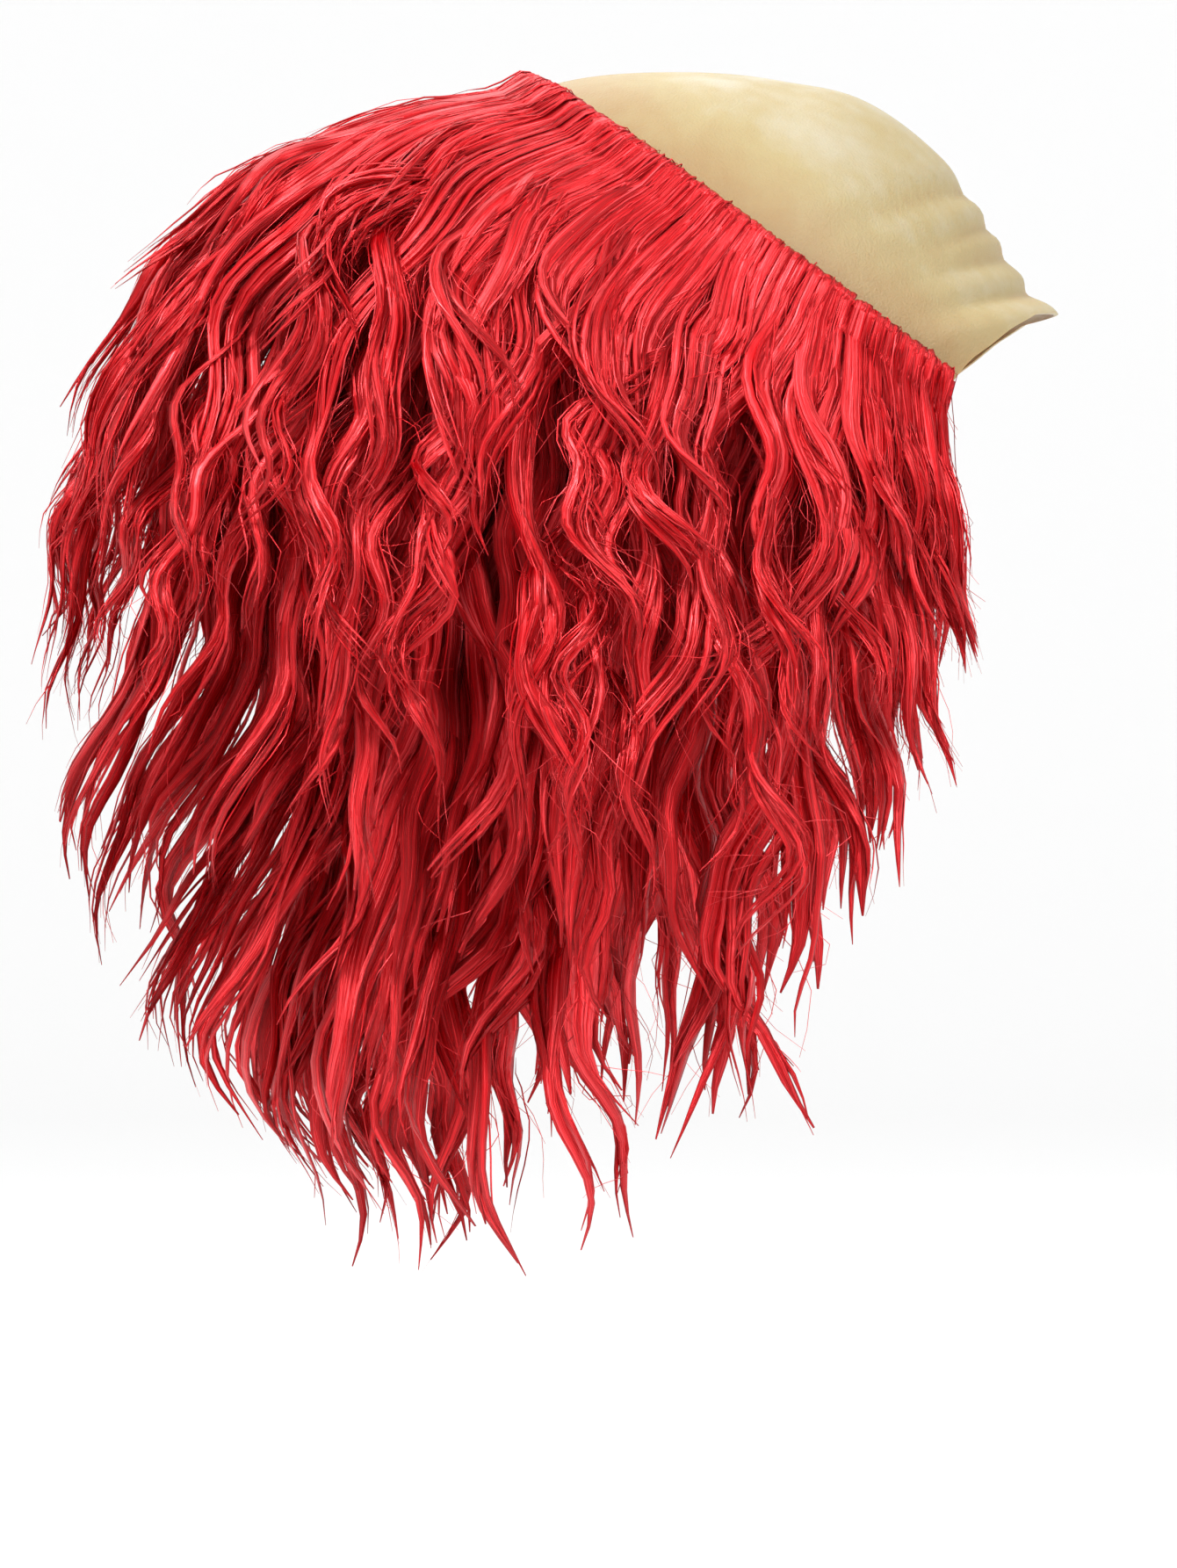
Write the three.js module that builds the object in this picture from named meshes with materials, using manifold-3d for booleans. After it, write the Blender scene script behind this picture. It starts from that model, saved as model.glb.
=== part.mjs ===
// Clown wig: a moulded latex bald cap with brow wrinkles, sewn to a stretch cap that carries
// rows of long wavy hair. The face looks along -Y, +Z is up and the wearer's left is +X.
// The origin is where the top of the head touches the inside of the cap.
import * as THREE from "three";
import { mergeVertices } from "three/addons/utils/BufferGeometryUtils.js";
import Module from "manifold-3d";

const wasm = await Module();
wasm.setup();

// Driving sizes: millimetres, and degrees where the name says so.

const CROWN_RISE = 95; // head centre up to the inside of the crown
const HEAD_WIDTH = 150; // inside width at the head centre
const LATEX_WALL = 1.2;
const CAP_WALL = 1.2;
const CAP_GAP = 0.6; // clearance between the latex and the stretch cap over it
const LATEX_OVERLAP = 13; // latex that runs on under the stretch cap

const HAIRLINE_BACK = 35; // where the hairline crosses the crown, behind the origin
const HAIRLINE_TILT_DEG = 36.5; // hairline below the horizontal, towards the brow

const WRINKLE_DEPTH = 2.2; // crest to crease of the brow wrinkles
const WRINKLE_DROOP = 29; // how far the wrinkles would sink by the side of the head
const BROW_LIP = 3; // how far the brow edge stands off the forehead
const RELIEF_FADE = 24; // the brow's relief dies away over this, ahead of the hairline

const WEFT_WIDTH = 8; // sewn track of each row
const WEFT_WALL = 2;
const WEFT_GAP = 0.8; // clearance between the stretch cap and the wefts on it
const NAPE_MARGIN = 22; // from the lowest row to the cap's edge at the nape, square to the rows
const HAIR_LENGTH = 200; // root to tip, along the head
const HAIR_VOLUME = 60; // how far the outer hair stands off the head
const LAYER_GAP = 1.6; // clearance between the hair of one row and the next
const LENGTH_SPREAD = 0.1; // how much longer or shorter one lock is than its row, as a share
const WAVE_LENGTH = 66;
const WAVE_SWING = 6; // sideways swing of a lock's waves
const ROW_WAVE_SHIFT = 0.2; // shift of the waves from row to row, in wave lengths
const LOCK_WAVE_SHIFT = 0.06; // and at most between the locks of a row
const TIP_LIFT = 0.4; // how far a lock's tip stands towards the outside of its row, as a share

// Tables. Lengths are shares of the size named beside each table.

// Inside of the cap along the middle of the head, from the brow over the crown to the back.
// reach is a share of CROWN_RISE.
const HEAD_PROFILE = [
  { upDeg: 0, reach: 1.125 },
  { upDeg: 17, reach: 1.104 },
  { upDeg: 28, reach: 1.082 },
  { upDeg: 45, reach: 1.078 },
  { upDeg: 60, reach: 1.07 },
  { upDeg: 72, reach: 1.026 },
  { upDeg: 90, reach: 1 },
  { upDeg: 109, reach: 1.018 },
  { upDeg: 135, reach: 1.04 },
  { upDeg: 180, reach: 1.021 },
];
const SIDE_REACH = 1.01; // at the sides, before the head's width is applied

// Brow edge seen from the side, from the middle of the brow to the temple.
// Shares of CROWN_RISE from the head centre.
const BROW_EDGE = [
  { forward: 1.3, up: 0.326 },
  { forward: 1.07, up: 0.32 },
  { forward: 0.99, up: 0.308 },
  { forward: 0.916, up: 0.262 },
  { forward: 0.866, up: 0.216 },
  { forward: 0.817, up: 0.176 },
];
const TEMPLE_FORWARD = 0.768; // the brow edge meets the hairline here, as a share of CROWN_RISE

// Edge of the stretch cap below the temple. Shares of CROWN_RISE from the head centre.
const EAR_TAB = { forward: 0.63, down: 0.24 };
const NAPE = { back: 0.79, down: 0.684 };

// Creases of the brow, by height above the head centre in shares of CROWN_RISE.
const WRINKLES = [
  { up: 0.397, depth: 0.8 },
  { up: 0.49, depth: 1 },
  { up: 0.577, depth: 0.9 },
  { up: 0.679, depth: 0.7 },
];
const WRINKLE_HALF_WIDTH = 0.04;

// How the hair stands off the head behind the hairline. run is a share of CROWN_RISE,
// rise is a share of HAIR_VOLUME.
const HAIR_RISE = [
  { run: 0, rise: 0.04 },
  { run: 0.13, rise: 0.06 },
  { run: 0.38, rise: 0.25 },
  { run: 0.65, rise: 0.5 },
  { run: 0.84, rise: 0.66 },
  { run: 1.02, rise: 0.81 },
  { run: 1.17, rise: 0.93 },
  { run: 1.54, rise: 1 },
];
const SIDE_VOLUME = 0.7; // share of the hair's rise that is left at the sides of the head
const FRONT_VOLUME = 0.2; // and beside the face
const FRONT_BEGINS = 0; // hair is beside the face from this forward part of its direction
const FRONT_FULL = 0.76; // to this one
const DOWNWARD_RUN = 0.9; // where hair from the hairline has turned to hang straight down
const NECK_REACH = 0.69; // share of the head's reach that hanging hair draws in to
const NECK_SHARPNESS = 12; // how suddenly it stops drawing in

// How the hair draws in towards its tips. drop is below the head centre in shares of
// HAIR_LENGTH, keep is the share of the rise that is left.
const HAIR_TAPER = [
  { drop: 0, keep: 1 },
  { drop: 0.45, keep: 1 },
  { drop: 0.66, keep: 0.8 },
  { drop: 0.83, keep: 0.82 },
  { drop: 0.98, keep: 0.7 },
  { drop: 1.15, keep: 0.45 },
];

// Rows of hair, evenly spaced from the hairline to the nape. length is a share of HAIR_LENGTH.
const HAIR_ROWS = [
  { name: "hair_row_hairline", locks: 16, length: 1 },
  { name: "hair_row_crown", locks: 15, length: 1 },
  { name: "hair_row_back", locks: 12, length: 0.95 },
  { name: "hair_row_lower", locks: 10, length: 0.94 },
  { name: "hair_row_nape", locks: 8, length: 0.86 },
];
const FRONT_LENGTH = 0.46; // share of the length that is left beside the face

// Where a row's hair gains and loses thickness: it rises ahead of the row's weft, in shares of
// the rows' spacing, and thins out at the tips, in shares of the hair's length.
const HAIR_STARTS = { ahead: 0.8, over: 0.5 };
const HAIR_ENDS = { at: 0.65, over: 0.4, thinned: 0.93 };

// A lock along its length. width is a share of the space to its neighbours, thick a share of
// its row's layer, and edge where its two edges lie, from -1 at the bottom to 1 at the top.
const LOCK_SHAPE = [
  { along: 0, width: 0.94, thick: 1, edge: -1 },
  { along: 0.2, width: 0.9, thick: 1, edge: -0.4 },
  { along: 0.5, width: 0.9, thick: 1, edge: -0.4 },
  { along: 0.78, width: 0.66, thick: 0.95, edge: -0.4 },
  { along: 1, width: 0.05, thick: 0.1, edge: -0.4 },
];
const THICKNESS_WAVE = 0.15; // how much a lock's waves thin it
const LEAST_THICKNESS = 1;

// Fineness of the faceted surfaces.
const HEAD_ROWS = 36;
const BROW_ROWS = { fromDeg: 10, toDeg: 50 };
const WRINKLE_STEPS = 5; // between two rows of the brow
const ACROSS_STEPS = 16;
const LOCK_STATIONS = 12;
const PATH_STEPS = 5; // between two stations
const ROOT_ROUNDS = 8; // of settling a root onto the head
const END_STEP_DEG = 0.5; // in the search for a row's end
const WEFT_STEP_DEG = 12;
const WEFT_TOP = 0.8; // width of a weft's top, as a share of its foot

// Materials
const latex = new THREE.MeshStandardMaterial({ color: 0xd9c191, roughness: 0.55, metalness: 0 });
const stretchFabric = new THREE.MeshStandardMaterial({ color: 0x8c1218, roughness: 0.9, metalness: 0 });
const hair = new THREE.MeshStandardMaterial({ color: 0xc41620, roughness: 0.45, metalness: 0 });

// Small helpers
const rad = THREE.MathUtils.degToRad;
const deg = THREE.MathUtils.radToDeg;
const smooth = (x) => THREE.MathUtils.smoothstep(x, 0, 1);

// Smooth curve through a table's rows, flat beyond its ends.
function read(table, from, to, x) {
  const last = table.length - 1;
  if (x <= table[0][from]) return table[0][to];
  if (x >= table[last][from]) return table[last][to];
  const i = table.findIndex((row) => row[from] > x) - 1;
  const slope = (a, b) => (b[to] - a[to]) / (b[from] - a[from]);
  const slopeAt = (j) => (j <= 0 || j >= last ? 0 : slope(table[j - 1], table[j + 1]));
  const [a, b] = [table[i], table[i + 1]];
  const width = b[from] - a[from];
  const t = (x - a[from]) / width;
  const ends = a[to] * (1 + 2 * t) * (1 - t) ** 2 + b[to] * t * t * (3 - 2 * t);
  return ends + width * (slopeAt(i) * t * (1 - t) ** 2 - slopeAt(i + 1) * t * t * (1 - t));
}

// A repeatable number from -1 to 1 for each pair of counts.
function vary(i, j) {
  const x = Math.sin(i * 127.1 + j * 311.7 + 0.5) * 43758.5453;
  return 2 * (x - Math.floor(x)) - 1;
}

// The head
const centre = new THREE.Vector3(0, 0, -CROWN_RISE);
const narrow = HEAD_WIDTH / 2 / (SIDE_REACH * CROWN_RISE);

// Reach from the head centre in a direction, before the head's width is applied. Below the
// centre each side keeps the reach that it has level with the centre.
function headReach(direction) {
  const up = Math.max(direction.z, 0);
  const across = direction.x / Math.hypot(direction.x, direction.y, up);
  const upDeg = deg(Math.atan2(up, -direction.y));
  const middle = read(HEAD_PROFILE, "upDeg", "reach", upDeg);
  return CROWN_RISE * (SIDE_REACH + (middle - SIDE_REACH) * (1 - across * across));
}

function headNormal(direction) {
  return new THREE.Vector3(direction.x / narrow, direction.y, direction.z).normalize();
}

// A point at a height over the inside of the cap.
function headPoint(direction, height) {
  const reach = headReach(direction);
  return new THREE.Vector3(direction.x * narrow, direction.y, direction.z)
    .multiplyScalar(reach)
    .add(centre)
    .addScaledVector(headNormal(direction), height);
}

// The hairline, seen from the side: straight, from behind the crown down to the temple.
const tilt = rad(HAIRLINE_TILT_DEG);
const hairlineAlong = new THREE.Vector3(0, -Math.cos(tilt), -Math.sin(tilt));
const hairFall = new THREE.Vector3(0, Math.sin(tilt), -Math.cos(tilt)); // square to it
const backDeg = 90 + deg(HAIRLINE_BACK / CROWN_RISE);
const backReach = CROWN_RISE * read(HEAD_PROFILE, "upDeg", "reach", backDeg);
const hairlineTop = centre.clone();
hairlineTop.add(new THREE.Vector3(0, HAIRLINE_BACK, Math.sqrt(backReach ** 2 - HAIRLINE_BACK ** 2)));

function hairlinePoint(y) {
  return hairlineTop.clone().addScaledVector(hairlineAlong, (y - hairlineTop.y) / hairlineAlong.y);
}

function runBehindHairline(point) {
  return point.clone().sub(hairlineTop).dot(hairFall);
}

function fromCentre(back, up) {
  return centre.clone().add(new THREE.Vector3(0, back, up).multiplyScalar(CROWN_RISE));
}

const temple = hairlinePoint(-TEMPLE_FORWARD * CROWN_RISE);
const earTab = fromCentre(-EAR_TAB.forward, -EAR_TAB.down);
const nape = fromCentre(NAPE.back, -NAPE.down);
const rowSpacing = (runBehindHairline(nape) - NAPE_MARGIN) / (HAIR_ROWS.length - 1);
const beyond = 2 * CROWN_RISE;

// Creases and the standing edge of the brow, as a height over the smooth cap.
function browRelief(direction) {
  const level = Math.hypot(direction.x, direction.y);
  const turned = level > 0 ? 1 - Math.max(-direction.y, 0) / level : 1;
  const up = (headReach(direction) * direction.z + WRINKLE_DROOP * turned) / CROWN_RISE;
  const ahead = -runBehindHairline(headPoint(direction, 0));
  const fade = smooth((ahead - CAP_WALL) / RELIEF_FADE);
  let relief = 0;
  for (const wrinkle of WRINKLES) {
    const off = (up - wrinkle.up) / WRINKLE_HALF_WIDTH;
    relief -= WRINKLE_DEPTH * wrinkle.depth * Math.exp(-off * off);
  }
  const lip = BROW_LIP * smooth((WRINKLES[0].up - up) / (2 * WRINKLE_HALF_WIDTH));
  return direction.y < 0 ? fade * (relief + lip) : 0;
}

// Solids
function toSolid(geometry) {
  const plain = geometry.index ? geometry : mergeVertices(geometry);
  return new wasm.Manifold(
    new wasm.Mesh({
      numProp: 3,
      vertProperties: new Float32Array(plain.getAttribute("position").array),
      triVerts: new Uint32Array(plain.index.array),
    }),
  );
}

function toGeometry(solid) {
  const mesh = solid.getMesh();
  const geometry = new THREE.BufferGeometry();
  geometry.setAttribute("position", new THREE.BufferAttribute(mesh.vertProperties, 3));
  geometry.setIndex(new THREE.BufferAttribute(mesh.triVerts, 1));
  geometry.computeVertexNormals();
  return geometry;
}

function indexed(points, faces) {
  const geometry = new THREE.BufferGeometry();
  geometry.setAttribute(
    "position",
    new THREE.Float32BufferAttribute(points.flatMap((p) => [p.x, p.y, p.z]), 3),
  );
  geometry.setIndex(faces);
  return geometry;
}

// Closed surface round the head. Its rows run from one side of the head over the middle to
// the other. browSteps divides the rows over the brow.
function headSolid(heightAt, browSteps) {
  const rows = [];
  const rowStep = 360 / HEAD_ROWS;
  for (let upDeg = 0; upDeg < 360; upDeg += rowStep) {
    const steps = upDeg >= BROW_ROWS.fromDeg && upDeg < BROW_ROWS.toDeg ? browSteps : 1;
    for (let j = 0; j < steps; j++) rows.push(upDeg + (rowStep * j) / steps);
  }

  const points = [];
  const addPoint = (acrossDeg, upDeg) => {
    const direction = new THREE.Vector3(
      Math.sin(rad(acrossDeg)),
      -Math.cos(rad(acrossDeg)) * Math.cos(rad(upDeg)),
      Math.cos(rad(acrossDeg)) * Math.sin(rad(upDeg)),
    );
    return points.push(headPoint(direction, heightAt(direction))) - 1;
  };
  for (const upDeg of rows)
    for (let j = 1; j < ACROSS_STEPS; j++) addPoint((180 * j) / ACROSS_STEPS - 90, upDeg);
  const right = addPoint(-90, 0);
  const left = addPoint(90, 0);

  const faces = [];
  const inRow = ACROSS_STEPS - 1;
  rows.forEach((_, i) => {
    const a = i * inRow;
    const b = ((i + 1) % rows.length) * inRow;
    faces.push(right, a, b, left, b + inRow - 1, a + inRow - 1);
    for (let j = 0; j < inRow - 1; j++) {
      faces.push(a + j, a + j + 1, b + j + 1, a + j, b + j + 1, b + j);
    }
  });
  return toSolid(indexed(points, faces));
}

// A prism across the whole head, from an outline seen from the side.
function sidePrism(outline) {
  const shape = new THREE.Shape(outline.map((p) => new THREE.Vector2(p.y, p.z)));
  const geometry = new THREE.ExtrudeGeometry(shape, { depth: 2 * beyond, bevelEnabled: false });
  geometry.deleteAttribute("normal");
  geometry.deleteAttribute("uv");
  geometry.translate(0, 0, -beyond);
  // The shape's own x, y and depth become the part's Y, Z and X.
  geometry.applyMatrix4(new THREE.Matrix4().set(0, 0, 1, 0, 1, 0, 0, 0, 0, 1, 0, 0, 0, 0, 0, 1));
  return toSolid(mergeVertices(geometry));
}

function baldCapSolid() {
  const outer = headSolid((d) => LATEX_WALL + browRelief(d), WRINKLE_STEPS);
  const inner = headSolid((d) => browRelief(d), WRINKLE_STEPS);
  const brow = BROW_EDGE.map((p) => fromCentre(-p.forward, p.up));
  const seam = (p) => p.clone().addScaledVector(hairFall, LATEX_OVERLAP);
  const outline = [
    ...brow,
    temple,
    seam(temple),
    seam(hairlinePoint(beyond)),
    new THREE.Vector3(0, -beyond, beyond),
  ];
  return outer.subtract(inner).intersect(sidePrism(outline));
}

const capInside = LATEX_WALL + CAP_GAP;
const capOutside = capInside + CAP_WALL;

function stretchCapSolid() {
  const outer = headSolid(() => capOutside, 1);
  const inner = headSolid(() => capInside, 1);
  const rimEnd = earTab.clone().lerp(nape, beyond / (nape.y - earTab.y));
  const outline = [temple, earTab, rimEnd, hairlinePoint(rimEnd.y)];
  return outer.subtract(inner).intersect(sidePrism(outline));
}

// The hair. Every point of it is a place on the head, how far it hangs below the head centre
// and a height over the head. Rows lie over each other as layers of that height.
const weftFoot = capOutside + WEFT_GAP;
const hairFoot = weftFoot + WEFT_WALL / 2;

// From 0 behind the ears to 1 beside the face.
function besideFace(direction) {
  return smooth((-direction.y - FRONT_BEGINS) / (FRONT_FULL - FRONT_BEGINS));
}

// A direction below the head centre becomes a level direction and a drop.
function settle(direction, drop) {
  if (direction.z >= 0) return { direction, drop };
  const level = new THREE.Vector3(direction.x, direction.y, 0).normalize();
  return { direction: level, drop: drop - headReach(level) * direction.z };
}

function run(place) {
  return runBehindHairline(headPoint(place.direction, 0)) + place.drop;
}

// Share of the full length that the hair has where it hangs beside the face.
function trim(direction) {
  return 1 - (1 - FRONT_LENGTH) * besideFace(direction);
}

// How thick a row's hair lies at a place, against the other rows. It begins ahead of the
// row's weft and thins out at the tips.
function thickness(row, place) {
  const fromRoot = run(place) - row * rowSpacing;
  const begun = row === 0 ? 1 : smooth((fromRoot / rowSpacing + HAIR_STARTS.ahead) / HAIR_STARTS.over);
  const length = HAIR_LENGTH * HAIR_ROWS[row].length * trim(place.direction);
  const ended = smooth((fromRoot / length - HAIR_ENDS.at) / HAIR_ENDS.over);
  const rise = read(HAIR_RISE, "run", "rise", fromRoot / CROWN_RISE);
  return begun * (1 - HAIR_ENDS.thinned * ended) * rise;
}

// How far the top of a row's hair stands over the head.
function layerTop(row, place) {
  const each = HAIR_ROWS.map((_, i) => thickness(i, place));
  const sum = (values) => values.reduce((a, b) => a + b, 0);
  const keep = read(HAIR_TAPER, "drop", "keep", place.drop / HAIR_LENGTH);
  const lostAside = (1 - SIDE_VOLUME) * place.direction.x ** 2;
  const lostInFront = (SIDE_VOLUME - FRONT_VOLUME) * besideFace(place.direction);
  const rise = HAIR_VOLUME * read(HAIR_RISE, "run", "rise", run(place) / CROWN_RISE);
  const reach = headReach(place.direction);
  const drawnIn = reach - drapedRadius(reach, place.drop);
  const whole = rise * keep * (1 - lostAside - lostInFront) + drawnIn;
  return hairFoot + (whole * sum(each.slice(row))) / sum(each);
}

function layerFoot(row, place) {
  const under = layerTop(row + 1, place);
  return under + Math.min(LAYER_GAP, under - hairFoot);
}

// Hanging hair follows the head inwards below its centre, and then hangs straight.
function drapedRadius(reach, drop) {
  const most = reach * Math.sqrt(1 - NECK_REACH ** 2);
  const eased = drop / (1 + (drop / most) ** NECK_SHARPNESS) ** (1 / NECK_SHARPNESS);
  return Math.sqrt(reach ** 2 - eased ** 2);
}

function hairPoint(place, height) {
  const { direction, drop } = place;
  if (drop === 0) return headPoint(direction, height);
  const reach = drapedRadius(headReach(direction), drop);
  return new THREE.Vector3(direction.x * narrow, direction.y, 0)
    .multiplyScalar(reach)
    .add(centre)
    .add(new THREE.Vector3(0, 0, -drop))
    .addScaledVector(headNormal(direction), height);
}

// Which way the hair runs on the head: square to the hairline, then more and more downwards,
// and downwards from the start beside the face.
function hairRun(place) {
  const turned = smooth(run(place) / (DOWNWARD_RUN * CROWN_RISE));
  const down = 1 - (1 - turned) * (1 - besideFace(place.direction));
  const wanted = hairFall.clone().multiplyScalar(1 - down).add(new THREE.Vector3(0, 0, -down));
  return wanted.addScaledVector(place.direction, -wanted.dot(place.direction)).normalize();
}

// Places along a hair from its root, with the direction across it at each.
function hairPath(root, length, stations) {
  const step = length / (stations * PATH_STEPS);
  const path = [];
  let place = settle(root, 0);
  for (let i = 0; i <= stations * PATH_STEPS; i++) {
    const hanging = place.drop > 0 || place.direction.z < 1e-6;
    const along = hanging ? new THREE.Vector3(0, 0, -1) : hairRun(place);
    const across = new THREE.Vector3().crossVectors(place.direction, along).normalize();
    if (i % PATH_STEPS === 0) path.push({ ...place, across });
    if (hanging) {
      place = { direction: place.direction, drop: place.drop + step };
    } else {
      const turn = step / headReach(place.direction);
      const direction = place.direction.clone().addScaledVector(along, Math.tan(turn)).normalize();
      place = settle(direction, 0);
    }
  }
  return path;
}

// The direction of a row's root at an angle round the hairline's axis, 0 over the crown.
function rowDirection(row, angle) {
  const offset = row * rowSpacing + WEFT_WIDTH / 2 - runBehindHairline(centre);
  const direction = new THREE.Vector3();
  let reach = CROWN_RISE;
  for (let i = 0; i < ROOT_ROUNDS; i++) {
    const radius = Math.sqrt(reach ** 2 - offset ** 2);
    direction.set(Math.sin(angle) * radius, 0, 0);
    direction.addScaledVector(hairlineAlong, -Math.cos(angle) * radius);
    direction.addScaledVector(hairFall, offset).normalize();
    reach = headReach(direction);
  }
  return direction;
}

// Whether a point lies on the stretch cap, clear of its edge by a weft's width.
function onStretchCap(point) {
  const clear = (a, b) => {
    const edge = b.clone().sub(a).normalize();
    return (point.y - a.y) * -edge.z + (point.z - a.z) * edge.y;
  };
  return clear(temple, earTab) > WEFT_WIDTH / 2 && clear(earTab, nape) > WEFT_WIDTH / 2;
}

function rowEndAngle(row) {
  let angle = 0;
  const step = rad(END_STEP_DEG);
  const fits = (wider) => wider < Math.PI && onStretchCap(headPoint(rowDirection(row, wider), 0));
  while (fits(angle + step)) angle += step;
  return angle;
}

// Closed solid through rings of points that all have the same count.
function ringSolid(rings) {
  const n = rings[0].length;
  const faces = [];
  for (let i = 0; i < rings.length - 1; i++)
    for (let j = 0; j < n; j++) {
      const k = (j + 1) % n;
      const [a, b] = [i * n, (i + 1) * n];
      faces.push(a + j, a + k, b + k, a + j, b + k, b + j);
    }
  const last = (rings.length - 1) * n;
  for (let j = 1; j < n - 1; j++) faces.push(0, j + 1, j, last, last + j, last + j + 1);
  return toSolid(indexed(rings.flat(), faces));
}

// The sewn track of a row.
function weftSolid(row, end) {
  const rings = [];
  const steps = Math.ceil(end / rad(WEFT_STEP_DEG));
  for (let i = -steps; i <= steps; i++) {
    const direction = rowDirection(row, (end * i) / steps);
    const fall = hairFall.clone().addScaledVector(direction, -hairFall.dot(direction)).normalize();
    const half = WEFT_WIDTH / 2 / headReach(direction);
    const corner = (share, height) => {
      return headPoint(direction.clone().addScaledVector(fall, share * half).normalize(), height);
    };
    rings.push([
      corner(-1, weftFoot),
      corner(1, weftFoot),
      corner(WEFT_TOP, weftFoot + WEFT_WALL),
      corner(-WEFT_TOP, weftFoot + WEFT_WALL),
    ]);
  }
  return ringSolid(rings);
}

// A wavy, tapering lock inside its row's layer, between the runs of hair from two roots.
function lockSolid(row, index, fromAngle, toAngle) {
  const rowLength = HAIR_LENGTH * HAIR_ROWS[row].length * (1 + LENGTH_SPREAD * vary(index, row));
  const root = rowDirection(row, (fromAngle + toAngle) / 2);
  const endDirection = hairPath(root, rowLength, 1)[1].direction;
  const length = rowLength * trim(endDirection);
  const path = hairPath(root, length, LOCK_STATIONS);
  const [from, to] = [fromAngle, toAngle].map((angle) => {
    return hairPath(rowDirection(row, angle), length, LOCK_STATIONS);
  });

  const wave = (along, start) => Math.sin(2 * Math.PI * ((along * length) / WAVE_LENGTH + start));
  const swingStart = ROW_WAVE_SHIFT * row + LOCK_WAVE_SHIFT * vary(index + 40, row);
  const thickStart = vary(index + 80, row);
  const rings = path.map((place, i) => {
    const along = i / LOCK_STATIONS;
    const shape = (column) => read(LOCK_SHAPE, "along", column, along);
    const space = to[i].direction.clone().sub(from[i].direction).dot(place.across);
    const half = (Math.abs(space) / 2) * shape("width");
    const swing = WAVE_SWING * trim(endDirection) * smooth(2 * along) * wave(along, swingStart);
    const turn = swing / (headReach(place.direction) + layerTop(row, place));
    const full = shape("thick") * (1 - THICKNESS_WAVE * (1 + wave(along, thickStart)));
    const corner = (side, share) => {
      const aside = place.direction.clone().addScaledVector(place.across, turn + side * half);
      const there = settle(aside.normalize(), place.drop);
      const [foot, top] = [layerFoot(row, there), layerTop(row, there)];
      const thick = Math.max(top - foot, LEAST_THICKNESS);
      return hairPoint(there, foot + (thick * (1 + TIP_LIFT * along ** 2 + share * full)) / 2);
    };
    return [corner(-1, shape("edge")), corner(1, shape("edge")), corner(0, 1)];
  });
  return ringSolid(rings);
}

function hairRowSolid(row) {
  const { locks } = HAIR_ROWS[row];
  const end = rowEndAngle(row);
  const pieces = [weftSolid(row, end)];
  for (let i = 0; i < locks; i++) {
    const [from, to] = [i, i + 1].map((j) => end * (1 - (2 * j) / locks));
    pieces.push(lockSolid(row, i, from, to));
  }
  return pieces.reduce((whole, piece) => whole.add(piece));
}

// The wig
function addMesh(group, name, solid, material) {
  const mesh = new THREE.Mesh(toGeometry(solid), material);
  mesh.name = name;
  group.add(mesh);
}

const wig = new THREE.Group();
addMesh(wig, "bald_cap", baldCapSolid(), latex);
addMesh(wig, "stretch_cap", stretchCapSolid(), stretchFabric);
HAIR_ROWS.forEach(({ name }, row) => addMesh(wig, name, hairRowSolid(row), hair));

export default wig;
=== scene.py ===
import math
from collections import namedtuple

import bpy
import numpy as np
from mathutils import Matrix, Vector


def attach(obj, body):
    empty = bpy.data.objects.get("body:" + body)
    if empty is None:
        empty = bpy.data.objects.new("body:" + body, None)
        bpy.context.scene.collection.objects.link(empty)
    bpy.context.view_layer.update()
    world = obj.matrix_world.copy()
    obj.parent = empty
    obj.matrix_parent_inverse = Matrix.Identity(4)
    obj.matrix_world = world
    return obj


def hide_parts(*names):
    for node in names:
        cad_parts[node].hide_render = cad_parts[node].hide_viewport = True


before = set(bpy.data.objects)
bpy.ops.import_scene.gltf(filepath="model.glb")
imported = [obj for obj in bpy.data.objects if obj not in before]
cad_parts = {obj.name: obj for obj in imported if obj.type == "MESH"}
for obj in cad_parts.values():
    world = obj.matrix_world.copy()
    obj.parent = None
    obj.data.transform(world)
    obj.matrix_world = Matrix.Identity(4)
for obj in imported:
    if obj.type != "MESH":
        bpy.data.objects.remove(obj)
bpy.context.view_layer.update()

# Sizes, in metres and degrees: the caps and the rows of hair as the frame has them
CROWN_RISE = 0.095  # head centre up to the inside of the crown
HEAD_WIDTH = 0.150
LATEX_WALL = 0.0012
CAP_WALL = 0.0012
CAP_GAP = 0.0006
LATEX_OVERLAP = 0.013
HAIRLINE_BACK = 0.035
HAIRLINE_TILT_DEG = 36.5
WRINKLE_DEPTH = 0.0022
WRINKLE_DROOP = 0.029
BROW_LIP = 0.003
RELIEF_FADE = 0.024
WEFT_WIDTH = 0.008
WEFT_WALL = 0.002
WEFT_GAP = 0.0008
NAPE_MARGIN = 0.022
HAIR_LENGTH = 0.200
HAIR_VOLUME = 0.060
LAYER_GAP = 0.0016

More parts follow.
